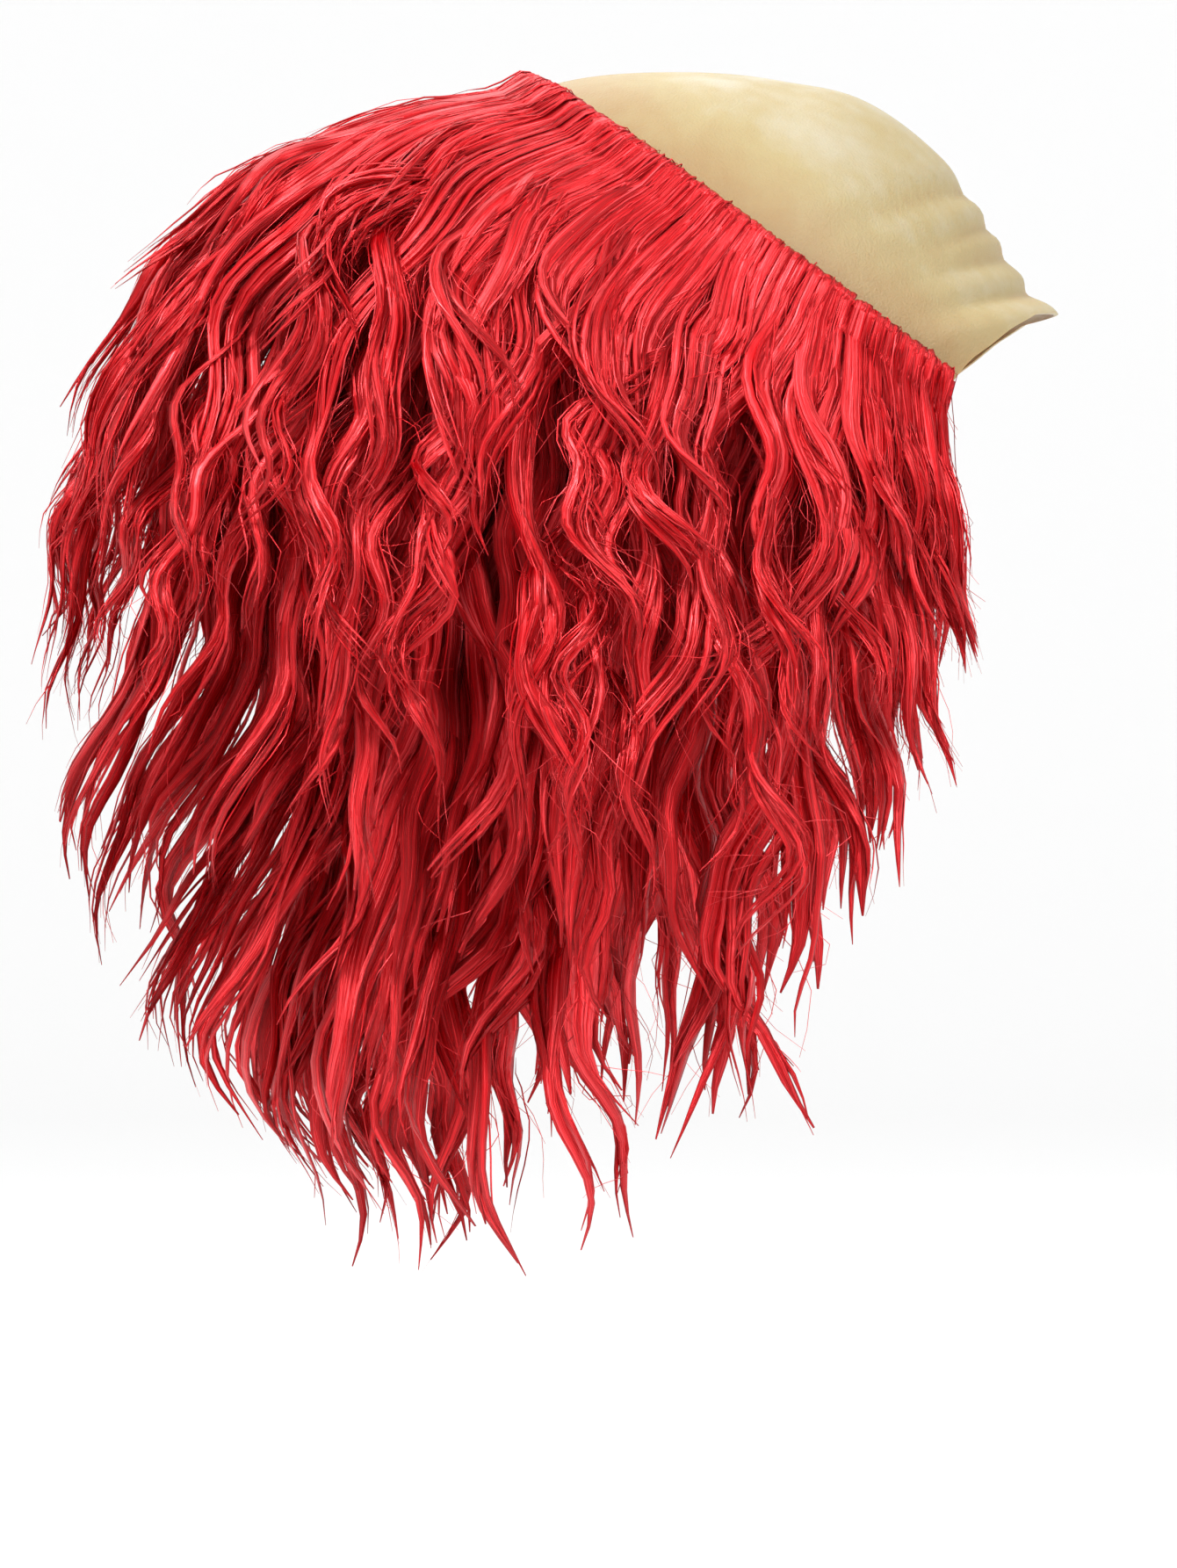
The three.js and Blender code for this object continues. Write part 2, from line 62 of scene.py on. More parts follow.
# Tables of shares. Each row is one place along the curve: where, how much.
HEAD_PROFILE = [
    (0, 1.125), (17, 1.104), (28, 1.082), (45, 1.078), (60, 1.07),
    (72, 1.026), (90, 1), (109, 1.018), (135, 1.04), (180, 1.021),
]
SIDE_REACH = 1.01
BROW_EDGE = [
    (1.3, 0.326), (1.07, 0.32), (0.99, 0.308), (0.916, 0.262), (0.866, 0.216), (0.817, 0.176),
]
TEMPLE_FORWARD = 0.768
EAR_TAB = (-0.63, -0.24)
NAPE = (0.79, -0.684)
WRINKLES = [(0.397, 0.8), (0.49, 1), (0.577, 0.9), (0.679, 0.7)]
WRINKLE_HALF_WIDTH = 0.04
HAIR_RISE = [
    (0, 0.04), (0.13, 0.06), (0.38, 0.25), (0.65, 0.5),
    (0.84, 0.66), (1.02, 0.81), (1.17, 0.93), (1.54, 1),
]
SIDE_VOLUME = 0.7
FRONT_VOLUME = 0.2
FRONT_FULL = 0.76
DOWNWARD_RUN = 0.9
NECK_REACH = 0.69
NECK_SHARPNESS = 12
HAIR_TAPER = [(0, 1), (0.45, 1), (0.66, 0.8), (0.83, 0.82), (0.98, 0.7), (1.15, 0.45)]
ROW_NAMES = ["hairline", "crown", "back", "lower", "nape"]
ROW_LENGTHS = [1, 1, 0.95, 0.94, 0.86]
FRONT_LENGTH = 0.46
STARTS_AHEAD, STARTS_OVER = 0.8, 0.5
ENDS_AT, ENDS_OVER, ENDS_THINNED = 0.65, 0.4, 0.93


# Small helpers on arrays whose last axis is x, y, z
def smooth(x):
    x = np.clip(x, 0, 1)
    return x * x * (3 - 2 * x)


def unit(v):
    return v / np.maximum(np.linalg.norm(v, axis=-1, keepdims=True), 1e-12)


def dot(a, b):
    return np.sum(a * b, axis=-1)


def read(table, x):
    """Smooth curve through a table's rows, flat beyond its ends."""
    xs, ys = np.array(table, float).T
    slopes = np.zeros(len(xs))
    slopes[1:-1] = (ys[2:] - ys[:-2]) / (xs[2:] - xs[:-2])
    x = np.clip(x, xs[0], xs[-1])
    i = np.clip(np.searchsorted(xs, x, side="right") - 1, 0, len(xs) - 2)
    width = xs[i + 1] - xs[i]
    t = (x - xs[i]) / width
    ends = ys[i] * (1 + 2 * t) * (1 - t) ** 2 + ys[i + 1] * t * t * (3 - 2 * t)
    return ends + width * (slopes[i] * t * (1 - t) ** 2 - slopes[i + 1] * t * t * (1 - t))


# The head under the caps
centre = np.array([0, 0, -CROWN_RISE])
narrow = HEAD_WIDTH / 2 / (SIDE_REACH * CROWN_RISE)
tilt = math.radians(HAIRLINE_TILT_DEG)
hairline_along = np.array([0, -math.cos(tilt), -math.sin(tilt)])
hair_fall = np.array([0, math.sin(tilt), -math.cos(tilt)])
down = np.array([0, 0, -1.0])


def head_reach(direction):
    up = np.maximum(direction[..., 2], 0)
    across = direction[..., 0] / np.sqrt(direction[..., 0] ** 2 + direction[..., 1] ** 2 + up * up)
    middle = read(HEAD_PROFILE, np.degrees(np.arctan2(up, -direction[..., 1])))
    return CROWN_RISE * (SIDE_REACH + (middle - SIDE_REACH) * (1 - across**2))


def head_normal(direction):
    return unit(direction / np.array([narrow, 1, 1]))


def head_point(direction, height):
    reach = head_reach(direction)[..., None]
    height = np.asarray(height)[..., None]
    return direction * np.array([narrow, 1, 1]) * reach + centre + head_normal(direction) * height


back_angle = math.pi / 2 + HAIRLINE_BACK / CROWN_RISE
back_reach = CROWN_RISE * float(read(HEAD_PROFILE, math.degrees(back_angle)))
hairline_top = centre + np.array([0, HAIRLINE_BACK, math.sqrt(back_reach**2 - HAIRLINE_BACK**2)])


def run_behind_hairline(point):
    return dot(point - hairline_top, hair_fall)


def from_centre(back, up):
    return centre + CROWN_RISE * np.array([0, back, up])


def hairline_point(y):
    return hairline_top + hairline_along * (y - hairline_top[1]) / hairline_along[1]


temple = hairline_point(-TEMPLE_FORWARD * CROWN_RISE)
ear_tab = from_centre(*EAR_TAB)
nape = from_centre(*NAPE)
row_spacing = (run_behind_hairline(nape) - NAPE_MARGIN) / (len(ROW_NAMES) - 1)
cap_inside = LATEX_WALL + CAP_GAP
cap_outside = cap_inside + CAP_WALL
weft_foot = cap_outside + WEFT_GAP
hair_foot = weft_foot + WEFT_WALL / 2


def brow_height(direction):
    """Height over the head centre as a share of CROWN_RISE, along lines that droop to the sides."""
    level = np.hypot(direction[..., 0], direction[..., 1])
    turned = 1 - np.maximum(-direction[..., 1], 0) / np.maximum(level, 1e-9)
    return (head_reach(direction) * direction[..., 2] + WRINKLE_DROOP * turned) / CROWN_RISE


def run_ahead_of_hairline(direction):
    return -run_behind_hairline(head_point(direction, 0.0))


def brow_relief(direction):
    up = brow_height(direction)
    ahead = run_ahead_of_hairline(direction)
    relief = BROW_LIP * smooth((WRINKLES[0][0] - up) / (2 * WRINKLE_HALF_WIDTH))
    for at, depth in WRINKLES:
        relief = relief - WRINKLE_DEPTH * depth * np.exp(-(((up - at) / WRINKLE_HALF_WIDTH) ** 2))
    return np.where(direction[..., 1] < 0, smooth((ahead - CAP_WALL) / RELIEF_FADE) * relief, 0)


# The hair's places: a direction from the head centre, a drop below it, and a height over the head
def beside_face(direction):
    return smooth(-direction[..., 1] / FRONT_FULL)


def settle(direction, drop):
    below = direction[..., 2] < 0
    level = unit(direction * np.array([1, 1, 0]))
    sunk = drop - head_reach(level) * direction[..., 2]
    return np.where(below[..., None], level, direction), np.where(below, sunk, drop)


def run(direction, drop):
    return run_behind_hairline(head_point(direction, 0.0)) + drop


def trim(direction):
    return 1 - (1 - FRONT_LENGTH) * beside_face(direction)


def thickness(row, direction, drop):
    from_root = run(direction, drop) - row * row_spacing
    begun = smooth((from_root / row_spacing + STARTS_AHEAD) / STARTS_OVER) if row else 1
    length = HAIR_LENGTH * ROW_LENGTHS[row] * trim(direction)
    ended = smooth((from_root / length - ENDS_AT) / ENDS_OVER)
    return begun * (1 - ENDS_THINNED * ended) * read(HAIR_RISE, from_root / CROWN_RISE)


def draped_radius(reach, drop):
    most = reach * math.sqrt(1 - NECK_REACH**2)
    eased = drop / (1 + (drop / most) ** NECK_SHARPNESS) ** (1 / NECK_SHARPNESS)
    return np.sqrt(reach**2 - eased**2)


def layer_tops(direction, drop):
    """How far the top of each row's hair stands over the head, from the hairline row inwards."""
    each = np.array([thickness(row, direction, drop) for row in range(len(ROW_NAMES))])
    lost_aside = (1 - SIDE_VOLUME) * direction[..., 0] ** 2
    lost_in_front = (SIDE_VOLUME - FRONT_VOLUME) * beside_face(direction)
    rise = HAIR_VOLUME * read(HAIR_RISE, run(direction, drop) / CROWN_RISE)
    reach = head_reach(direction)
    whole = rise * read(HAIR_TAPER, drop / HAIR_LENGTH) * (1 - lost_aside - lost_in_front)
    whole = whole + reach - draped_radius(reach, drop)
    inner = np.cumsum(each[::-1], axis=0)[::-1]
    return hair_foot + whole * inner / np.sum(each, axis=0)


def hair_point(direction, drop, height):
    reach = draped_radius(head_reach(direction), drop)[..., None]
    hanging = direction * np.array([narrow, 1, 0]) * reach + centre + down * drop[..., None]
    hanging = hanging + head_normal(direction) * height[..., None]
    return np.where((drop > 0)[..., None], hanging, head_point(direction, height))


def row_direction(row, angle, offset=WEFT_WIDTH / 2):
    """A row's root at an angle round the hairline's axis, 0 over the crown."""
    offset = row * row_spacing + offset - run_behind_hairline(centre) + np.zeros(np.shape(angle))
    reach = np.full(np.shape(angle), CROWN_RISE)
    for _ in range(8):
        radius = np.sqrt(reach**2 - offset**2)
        direction = (np.sin(angle) * radius)[..., None] * np.array([1, 0, 0])
        direction = direction - (np.cos(angle) * radius)[..., None] * hairline_along
        direction = unit(direction + offset[..., None] * hair_fall)
        reach = head_reach(direction)
    return direction


def row_end_angle(row):
    angles = np.radians(np.arange(0, 180, 0.5))
    points = head_point(row_direction(row, angles), 0.0)

    def clear(a, b):
        edge = unit(b - a)
        return (points[:, 1] - a[1]) * -edge[2] + (points[:, 2] - a[2]) * edge[1]

    fits = (clear(temple, ear_tab) > WEFT_WIDTH / 2) & (clear(ear_tab, nape) > WEFT_WIDTH / 2)
    return angles[int(np.argmin(fits)) - 1]


def hair_paths(roots, lengths, stations, substeps=4):
    """Directions, drops and directions across, at each station of each hair."""
    direction, drop = settle(roots, np.zeros(len(roots)))
    step = lengths / (stations * substeps)
    found = []
    for i in range(stations * substeps + 1):
        hanging = (drop > 0) | (direction[:, 2] < 1e-6)
        turned = smooth(run(direction, drop) / (DOWNWARD_RUN * CROWN_RISE))
        share = (1 - (1 - turned) * (1 - beside_face(direction)))[:, None]
        along = hair_fall * (1 - share) + down * share
        along = unit(along - dot(along, direction)[:, None] * direction)
        along = np.where(hanging[:, None], down, along)
        if i % substeps == 0:
            found.append((direction, drop, unit(np.cross(direction, along))))
        turned_direction = unit(direction + along * np.tan(step / head_reach(direction))[:, None])
        moved, fallen = settle(turned_direction, np.zeros(len(roots)))
        direction = np.where(hanging[:, None], direction, moved)
        drop = np.where(hanging, drop + step, fallen)
    return [np.stack(values, axis=1) for values in zip(*found)]


# Meshes from arrays. A part of a mesh holds its points, its faces of four and three corners,
# the places of those corners on the fibres, and a tone for each point.
def tube_faces(count, stations, sides):
    """Faces of closed tubes, and their corners' places round and along the tube."""
    ring = np.arange(sides)
    nxt = (ring + 1) % sides
    rows = np.arange(stations - 1)[:, None] * sides
    above = rows + sides
    quads = np.stack([rows + ring, rows + nxt, above + nxt, above + ring], -1).reshape(-1, 4)
    last = (stations - 1) * sides
    fans = np.concatenate([
        np.stack([nxt, ring, np.full(sides, stations * sides)], -1),
        np.stack([last + ring, last + nxt, np.full(sides, stations * sides + 1)], -1),
    ])
    start = (np.arange(count) * (stations * sides + 2))[:, None, None]
    round_quads = np.stack([ring, ring + 1, ring + 1, ring], -1)
    round_quads = np.broadcast_to(round_quads, (stations - 1, sides, 4))
    along_quads = np.arange(stations - 1)[:, None, None] + np.array([0, 0, 1, 1]) + np.zeros((sides, 4))
    round_fans = np.concatenate([
        np.stack([ring + 1, ring, ring + 0.5], -1), np.stack([ring, ring + 1, ring + 0.5], -1),
    ])
    along_fans = np.repeat([0, 1], sides)[:, None] + np.zeros((1, 3))
    places = [
        np.stack([round_quads / sides, along_quads / (stations - 1)], -1).reshape(-1, 2),
        np.stack([round_fans / sides, along_fans], -1).reshape(-1, 2),
    ]
    return [(start + quads).reshape(-1, 4), (start + fans).reshape(-1, 3)], places


def frames(line, across):
    """Unit tangent, side and upward directions along lines of points."""
    tangent = unit(np.gradient(line, axis=1))
    side = unit(across - dot(across, tangent)[..., None] * tangent)
    return tangent, side, np.cross(side, tangent)


def tubes(tube, sides, tone, draw, ribs=1.0, turn=0.0):
    """A part of a mesh: closed tubes along lines, flattened as their half widths say."""
    line, half_width, half_thick = tube["line"], tube["half_width"], tube["half_thick"]
    count, stations = line.shape[:2]
    tangent, side, up = frames(line, tube["across"])
    angle = 2 * math.pi * np.arange(sides) / sides
    turn = np.broadcast_to(turn, (count, stations))[..., None]
    wide = np.cos(angle) * half_width[..., None] * ribs
    high = np.sin(angle) * half_thick[..., None] * ribs
    in_side = wide * np.cos(turn) - high * np.sin(turn)
    in_up = wide * np.sin(turn) + high * np.cos(turn)
    rings = line[:, :, None] + in_side[..., None] * side[:, :, None] + in_up[..., None] * up[:, :, None]
    ends = line[:, [0, -1]] + np.array([[-1], [1]]) * tangent[:, [0, -1]] * half_thick[:, [0, -1], None]
    points = np.concatenate([rings.reshape(count, -1, 3), ends], axis=1)
    faces, places = tube_faces(count, stations, sides)
    length = np.linalg.norm(np.diff(line, axis=1), axis=-1).sum(1)
    scale = np.stack([4 * half_width.max(1), length], -1)[:, None]
    shift = draw.random((count, 1, 2))
    uv = [(place[None] * scale + shift).reshape(-1, 2) for place in places]
    tones = np.repeat(tone, points.shape[1])
    return {"points": points.reshape(-1, 3), "faces": faces, "uv": uv, "tone": tones}


def joined(parts):
    starts = np.cumsum([0] + [len(p["points"]) for p in parts])
    return {
        "points": np.concatenate([p["points"] for p in parts]),
        "faces": [np.concatenate([p["faces"][k] + s for p, s in zip(parts, starts)]) for k in (0, 1)],
        "uv": [np.concatenate([p["uv"][k] for p in parts]) for k in (0, 1)],
        "tone": np.concatenate([p["tone"] for p in parts]),
    }


def add_piece(name, part, material, slot, *nodes):
    """A piece of the wig that stands for CAD nodes."""
    mesh = bpy.data.meshes.new(name)
    mesh.vertices.add(len(part["points"]))
    mesh.vertices.foreach_set("co", part["points"].astype(np.float32).ravel())
    corners = np.concatenate([f.ravel() for f in part["faces"]]).astype(np.int32)
    counts = np.concatenate([np.full(len(f), f.shape[1]) for f in part["faces"]])
    mesh.loops.add(len(corners))
    mesh.loops.foreach_set("vertex_index", corners)
    mesh.polygons.add(len(counts))
    mesh.polygons.foreach_set("loop_start", (np.cumsum(counts) - counts).astype(np.int32))
    uv = np.concatenate(part["uv"]).astype(np.float32)
    mesh.uv_layers.new(name="fibre").data.foreach_set("uv", uv.ravel())
    tone = mesh.attributes.new("tone", "FLOAT", "POINT")
    tone.data.foreach_set("value", part["tone"].astype(np.float32))
    mesh.update(calc_edges=True)
    mesh.shade_smooth()
    mesh.materials.append(material)
    piece = bpy.data.objects.new(name, mesh)
    bpy.context.scene.collection.objects.link(piece)
    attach(piece, "root")
    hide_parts(*nodes)


# Materials: places along a ramp with their colours, and how strong each part of a look is
HAIR_COLOURS = [(0.42, (0.36, 0, 0.002)), (0.53, (0.66, 0.001, 0.006)), (0.61, (0.84, 0.06, 0.07))]
LATEX_COLOURS = [
    (0.12, (0.375, 0.335, 0.24)), (0.36, (0.325, 0.257, 0.122)), (0.72, (0.28, 0.182, 0.075)),
]
KNIT_COLOURS = [(0.2, (0.24, 0.001, 0.004)), (0.75, (0.55, 0.008, 0.015))]
FIBRE_SCALES = [(1500, 12), (4000, 34)]  # how fine the fibres' noise is, across and along them
HAIR_TONE_SHARE = 0.18
LATEX_TONE_SHARE = 0.42
BLOTCH_SCALE, MOTTLE_SCALE, PORE_SCALE = 38, 160, 1400
KNIT_SCALE = 160
FIBRE_RELIEF, LATEX_RELIEF, KNIT_RELIEF = 0.0006, 0.0004, 0.0006


def shader(name, base, roughness):
    material = bpy.data.materials.new(name)
    material.use_nodes = True
    surface = material.node_tree.nodes["Principled BSDF"]
    surface.inputs["Base Color"].default_value = (*base, 1)
    surface.inputs["Roughness"].default_value = roughness
    return material, material.node_tree.nodes, material.node_tree.links, surface


def ramp(nodes, stops):
    node = nodes.new("ShaderNodeValToRGB")
    points = node.color_ramp.elements
    while len(points) < len(stops):
        points.new(0.5)
    for point, (place, colour) in zip(points, stops):
        point.position, point.color = place, (*colour, 1)
    return node


def noise(nodes, links, vector, scale, detail=3.0, dimensions="3D"):
    node = nodes.new("ShaderNodeTexNoise")
    node.noise_dimensions = dimensions
    node.inputs["Scale"].default_value = scale
    node.inputs["Detail"].default_value = detail
    links.new(vector, node.inputs["Vector"])
    return node.outputs["Fac"]


def mix(nodes, links, share, a, b):
    """a and b mixed, with this share of b."""
    node = nodes.new("ShaderNodeMix")
    node.inputs["Factor"].default_value = share
    links.new(a, node.inputs["A"])
    links.new(b, node.inputs["B"])
    return node.outputs["Result"]


def bump(nodes, links, height, distance, surface):
    node = nodes.new("ShaderNodeBump")
    node.inputs["Strength"].default_value = 1
    node.inputs["Distance"].default_value = distance
    links.new(height, node.inputs["Height"])
    links.new(node.outputs[0], surface.inputs["Normal"])


def make_hair_material():
    material, nodes, links, surface = shader("hair", (0.5, 0.008, 0.012), 0.29)
    surface.inputs["Metallic"].default_value = 0.45
    surface.inputs["Specular IOR Level"].default_value = 0.6
    surface.inputs["Specular Tint"].default_value = (1, 0.75, 0.77, 1)
    surface.inputs["Anisotropic"].default_value = 0.8
    uv = nodes.new("ShaderNodeUVMap")
    uv.uv_map = "fibre"
    tangent = nodes.new("ShaderNodeTangent")
    tangent.direction_type, tangent.uv_map = "UV_MAP", "fibre"
    links.new(tangent.outputs[0], surface.inputs["Tangent"])
    streaks = []
    for across, along in FIBRE_SCALES:
        scale = nodes.new("ShaderNodeMapping")
        scale.inputs["Scale"].default_value = (across, along, 1)
        links.new(uv.outputs[0], scale.inputs[0])
        streaks.append(noise(nodes, links, scale.outputs[0], 1, 2, "2D"))
    fibres = mix(nodes, links, 0.5, *streaks)
    tone = nodes.new("ShaderNodeAttribute")
    tone.attribute_name = "tone"
    mixed = mix(nodes, links, HAIR_TONE_SHARE, fibres, tone.outputs["Fac"])
    colours = ramp(nodes, HAIR_COLOURS)
    links.new(mixed, colours.inputs[0])
    links.new(colours.outputs[0], surface.inputs["Base Color"])
    bump(nodes, links, fibres, FIBRE_RELIEF, surface)
    return material


def make_latex_material():
    material, nodes, links, surface = shader("latex", (0.7, 0.56, 0.33), 0.5)
    surface.inputs["Specular IOR Level"].default_value = 0.45
    surface.inputs["Subsurface Weight"].default_value = 0.25
    surface.inputs["Subsurface Radius"].default_value = (1.0, 0.5, 0.25)
    surface.inputs["Subsurface Scale"].default_value = 0.003
    place = nodes.new("ShaderNodeTexCoord").outputs["Object"]
    blotches = noise(nodes, links, place, BLOTCH_SCALE, 4)
    mottle = noise(nodes, links, place, MOTTLE_SCALE, 5)
    patches = mix(nodes, links, 0.4, blotches, mottle)
    # The tone attribute carries painted shade ahead of the hairline and in the creases, and a painted
    # highlight along the crown's fold
    tone = nodes.new("ShaderNodeAttribute")
    tone.attribute_name = "tone"
    shaded = mix(nodes, links, LATEX_TONE_SHARE, patches, tone.outputs["Fac"])
    colours = ramp(nodes, LATEX_COLOURS)
    links.new(shaded, colours.inputs[0])
    links.new(colours.outputs[0], surface.inputs["Base Color"])
    pores = noise(nodes, links, place, PORE_SCALE, 3)
    relief = mix(nodes, links, 0.5, mottle, pores)
    bump(nodes, links, relief, LATEX_RELIEF, surface)
    return material


def make_knit_material():
    material, nodes, links, surface = shader("stretch_knit", (0.3, 0.01, 0.016), 0.85)
    surface.inputs["Specular IOR Level"].default_value = 0.15
    surface.inputs["Sheen Weight"].default_value = 0.3
    surface.inputs["Sheen Tint"].default_value = (1, 0.1, 0.12, 1)
    uv = nodes.new("ShaderNodeUVMap")
    uv.uv_map = "fibre"
    waves = []
    for turn in (0, math.pi / 2):
        turned = nodes.new("ShaderNodeMapping")
        turned.inputs["Rotation"].default_value = (0, 0, turn)
        links.new(uv.outputs[0], turned.inputs[0])
        wave = nodes.new("ShaderNodeTexWave")
        wave.inputs["Scale"].default_value = KNIT_SCALE
        wave.inputs["Distortion"].default_value = 1.2
        wave.inputs["Detail Scale"].default_value = 2.5
        links.new(turned.outputs[0], wave.inputs["Vector"])
        waves.append(wave.outputs["Fac"])
    loops = mix(nodes, links, 0.5, *waves)
    colours = ramp(nodes, KNIT_COLOURS)
    links.new(loops, colours.inputs[0])
    links.new(colours.outputs[0], surface.inputs["Base Color"])
    bump(nodes, links, loops, KNIT_RELIEF, surface)
    return material


# Hair. A guide is the middle of a clump, bundles run side by side along it, and strands lie on
# the bundles.
BUNDLE_SIDES = 5
BUNDLE_ROOT_WIDTH = 0.0026
BUNDLE_WIDTH = 0.0036
INNER_WIDTH = 1.8  # how much wider the bundles under the hairline's row are
BUNDLE_THICKNESS = 0.0014
EASING = 0.012  # how far along them the bundles' corners are eased
BUNDLE_TURN = 0.6  # how far bundles turn about themselves, in radians
RIB_KNOTS = 6  # places along a bundle where its section changes
BUNDLE_TAPER = [(0, 1), (0.5, 1), (0.76, 0.76), (0.92, 0.4), (1, 0.07)]
STRAND_SIDES = 3
STRAND_STATIONS = 10
STRAND_WIDTH = 0.00042
STRAND_LENGTH = 0.052
LENGTH_STEPS = [0.34, 0.5, 0.66, 0.82, 0.94, 1.02]  # how much of its row's length a clump has
TOP_ODDS = [0.08, 0.14, 0.2, 0.2, 0.2, 0.18]
INNER_ODDS = [0, 0, 0.08, 0.22, 0.35, 0.35]
LOW_EDGE = [  # how far forward a hair's tip is, and the lowest that it reaches there, in metres
    (-0.085, -0.17), (-0.054, -0.2), (-0.038, -0.232), (-0.024, -0.258), (-0.01, -0.285), (0.02, -0.32),
]
ROW_END_COVER = 1.012  # the hairline's hair also covers the ends of its track
LOCK_LIFT = 0.005  # how far short locks stand off at the sides
LOW_FLARE = 0.016  # how far out the tips of the rows under the hairline's curl at the back
TUFT_LENGTHS = (0.055, 0.085)
TUFT_RISES_OVER = 0.025  # how far along their length tufts come up from under the others
TUFT_LIVELINESS, LOCK_LIVELINESS = 1.25, 0.8  # how strongly tufts and other locks swing
TIP_GATHERING, INNER_TIP_GATHERING = 0.96, 0.7  # how far a clump's tips draw together

# Each row's layers of clumps: how many clumps, the lowest and highest share of the row's layer,
# whether they are tufts that rise from under the others, bundles in a clump, strands and loose
# hairs on a bundle, and the step between a bundle's stations
Layer = namedtuple("Layer", "clumps low high tufts bundles strands loose step")
CLUMPS = {
    "hairline": [
        Layer(46, 0.45, 0.85, False, 7, 5, 2.2, 0.005),
        Layer(62, 0.7, 1.05, True, 6, 6, 3.0, 0.0042),
        Layer(34, 0.6, 1.0, True, 5, 6, 6.0, 0.0042),
    ],
    "crown": [Layer(36, 0.45, 1.0, False, 5, 2, 2.4, 0.0065)],
    "back": [Layer(32, 0.35, 0.95, False, 5, 2, 2.2, 0.007)],
    "lower": [Layer(34, 0.3, 0.9, False, 5, 2, 2.2, 0.007)],
    "nape": [Layer(32, 0.3, 0.9, False, 5, 2, 2.2, 0.007)],
}

# The hair is folded over the hairline: run behind it, and height over the inside of the cap
FOLD = [
    (0.0042, 0.0036), (0.0012, 0.0035), (-0.0006, 0.0036),
    (-0.0011, 0.0043), (-0.0004, 0.0050), (0.0016, 0.0055),
]
ROOT_DROP = 0.0016  # how much lower the hair starts than it lies further on


def slow_noise(x, seed):
    """A slow wandering number about 0 along x."""
    draw = np.random.default_rng(seed)
    waves = [np.sin(draw.uniform(0.6, 3.2) * x + draw.uniform(0, 2 * math.pi)) for _ in range(5)]
    return sum(waves) / 2.2


def make_guides(row, layer, draw):
    """The clumps of one layer: where each starts, how long it is, and how it waves."""
    count, low_share, high_share, tuft = layer.clumps, layer.low, layer.high, layer.tufts
    end = row_end_angle(row)
    spot = (np.arange(count) + 0.5 + draw.uniform(-0.15, 0.15, count)) / count
    top = row == 0
    angle = end * (2 * spot - 1) * (ROW_END_COVER if top else 1)
    step = draw.choice(LENGTH_STEPS, count, p=TOP_ODDS if top else INNER_ODDS)
    if tuft:
        step = 0.4 + 0.6 * (draw.permutation(count) + draw.random(count)) / count
    length = HAIR_LENGTH * ROW_LENGTHS[row] * step * draw.uniform(0.95, 1.02, count)
    tip_direction = hair_paths(row_direction(row, angle), length, 1)[0][:, -1]
    length = length * trim(tip_direction)
    tip_direction, tip_drop, _ = (v[:, -1] for v in hair_paths(row_direction(row, angle), length, 1))
    tip_point = hair_point(tip_direction, tip_drop, np.full(count, HAIR_VOLUME / 2))
    length = length - np.maximum(read(LOW_EDGE, tip_point[:, 1]) - tip_point[:, 2], 0)
    calm = 1 - 0.8 * beside_face(tip_direction)  # less of each swing beside the face
    aside = smooth(np.abs(np.sin(angle)))
    liveliness = TUFT_LIVELINESS if tuft else LOCK_LIVELINESS
    low_flare = LOW_FLARE * (not top) * draw.uniform(0.3, 1, count) * smooth(1.3 * np.cos(angle))
    short = step < 0.7  # short locks lie high and lift off
    height_share = np.maximum(draw.random(count), 0.8 * short)
    lift_share = np.maximum(draw.random(count) ** 2, short)
    return {
        "angle": angle,
        "spacing": np.full(count, 2 * end / count),
        "length": length,
        "share": low_share + (high_share - low_share) * height_share,
        "lift": LOCK_LIFT * top * (0.15 + 0.85 * aside) * calm * lift_share,
        "straight": (0.045 - 0.036 * aside) * draw.uniform(0.7, 1.3, count),
        "wave": draw.uniform(0.026, 0.046, count),
        "phase": 1.6 * slow_noise(2 * angle, row) + draw.uniform(-2.6, 2.6, count),
        "lean": draw.choice([-1, 1], count) * draw.uniform(0.3, 0.5, count) * math.pi,
        "swing": liveliness * draw.uniform(0.0042, 0.0088, count) * calm,
        "bounce": liveliness * draw.uniform(0.0025, 0.0055, count),
        "long_wave": draw.uniform(0.070, 0.12, count),
        "long_swing": draw.normal(0, 0.0065, count) * calm,
        "begin": np.clip(1 - draw.uniform(*TUFT_LENGTHS, count) / length, 0.1, 0.8) * tuft,
        "clumping": draw.uniform(0.15, 0.75, count),
        "twist": draw.uniform(-1.4, 1.4, count),
        "flick": liveliness * draw.normal(0, 0.010, count) * calm,
        "tip_rise": np.abs(draw.normal(0, 0.004, count)) * top * calm + low_flare,
        "drift": liveliness * draw.normal(0, 0.006, count) * calm,
    }


def eased(lines, passes):
    for _ in range(passes):
        middle = (lines[:, :-2] + 2 * lines[:, 1:-1] + lines[:, 2:]) / 4
        lines = np.concatenate([lines[:, :1], middle, lines[:, -1:]], axis=1)
    return lines


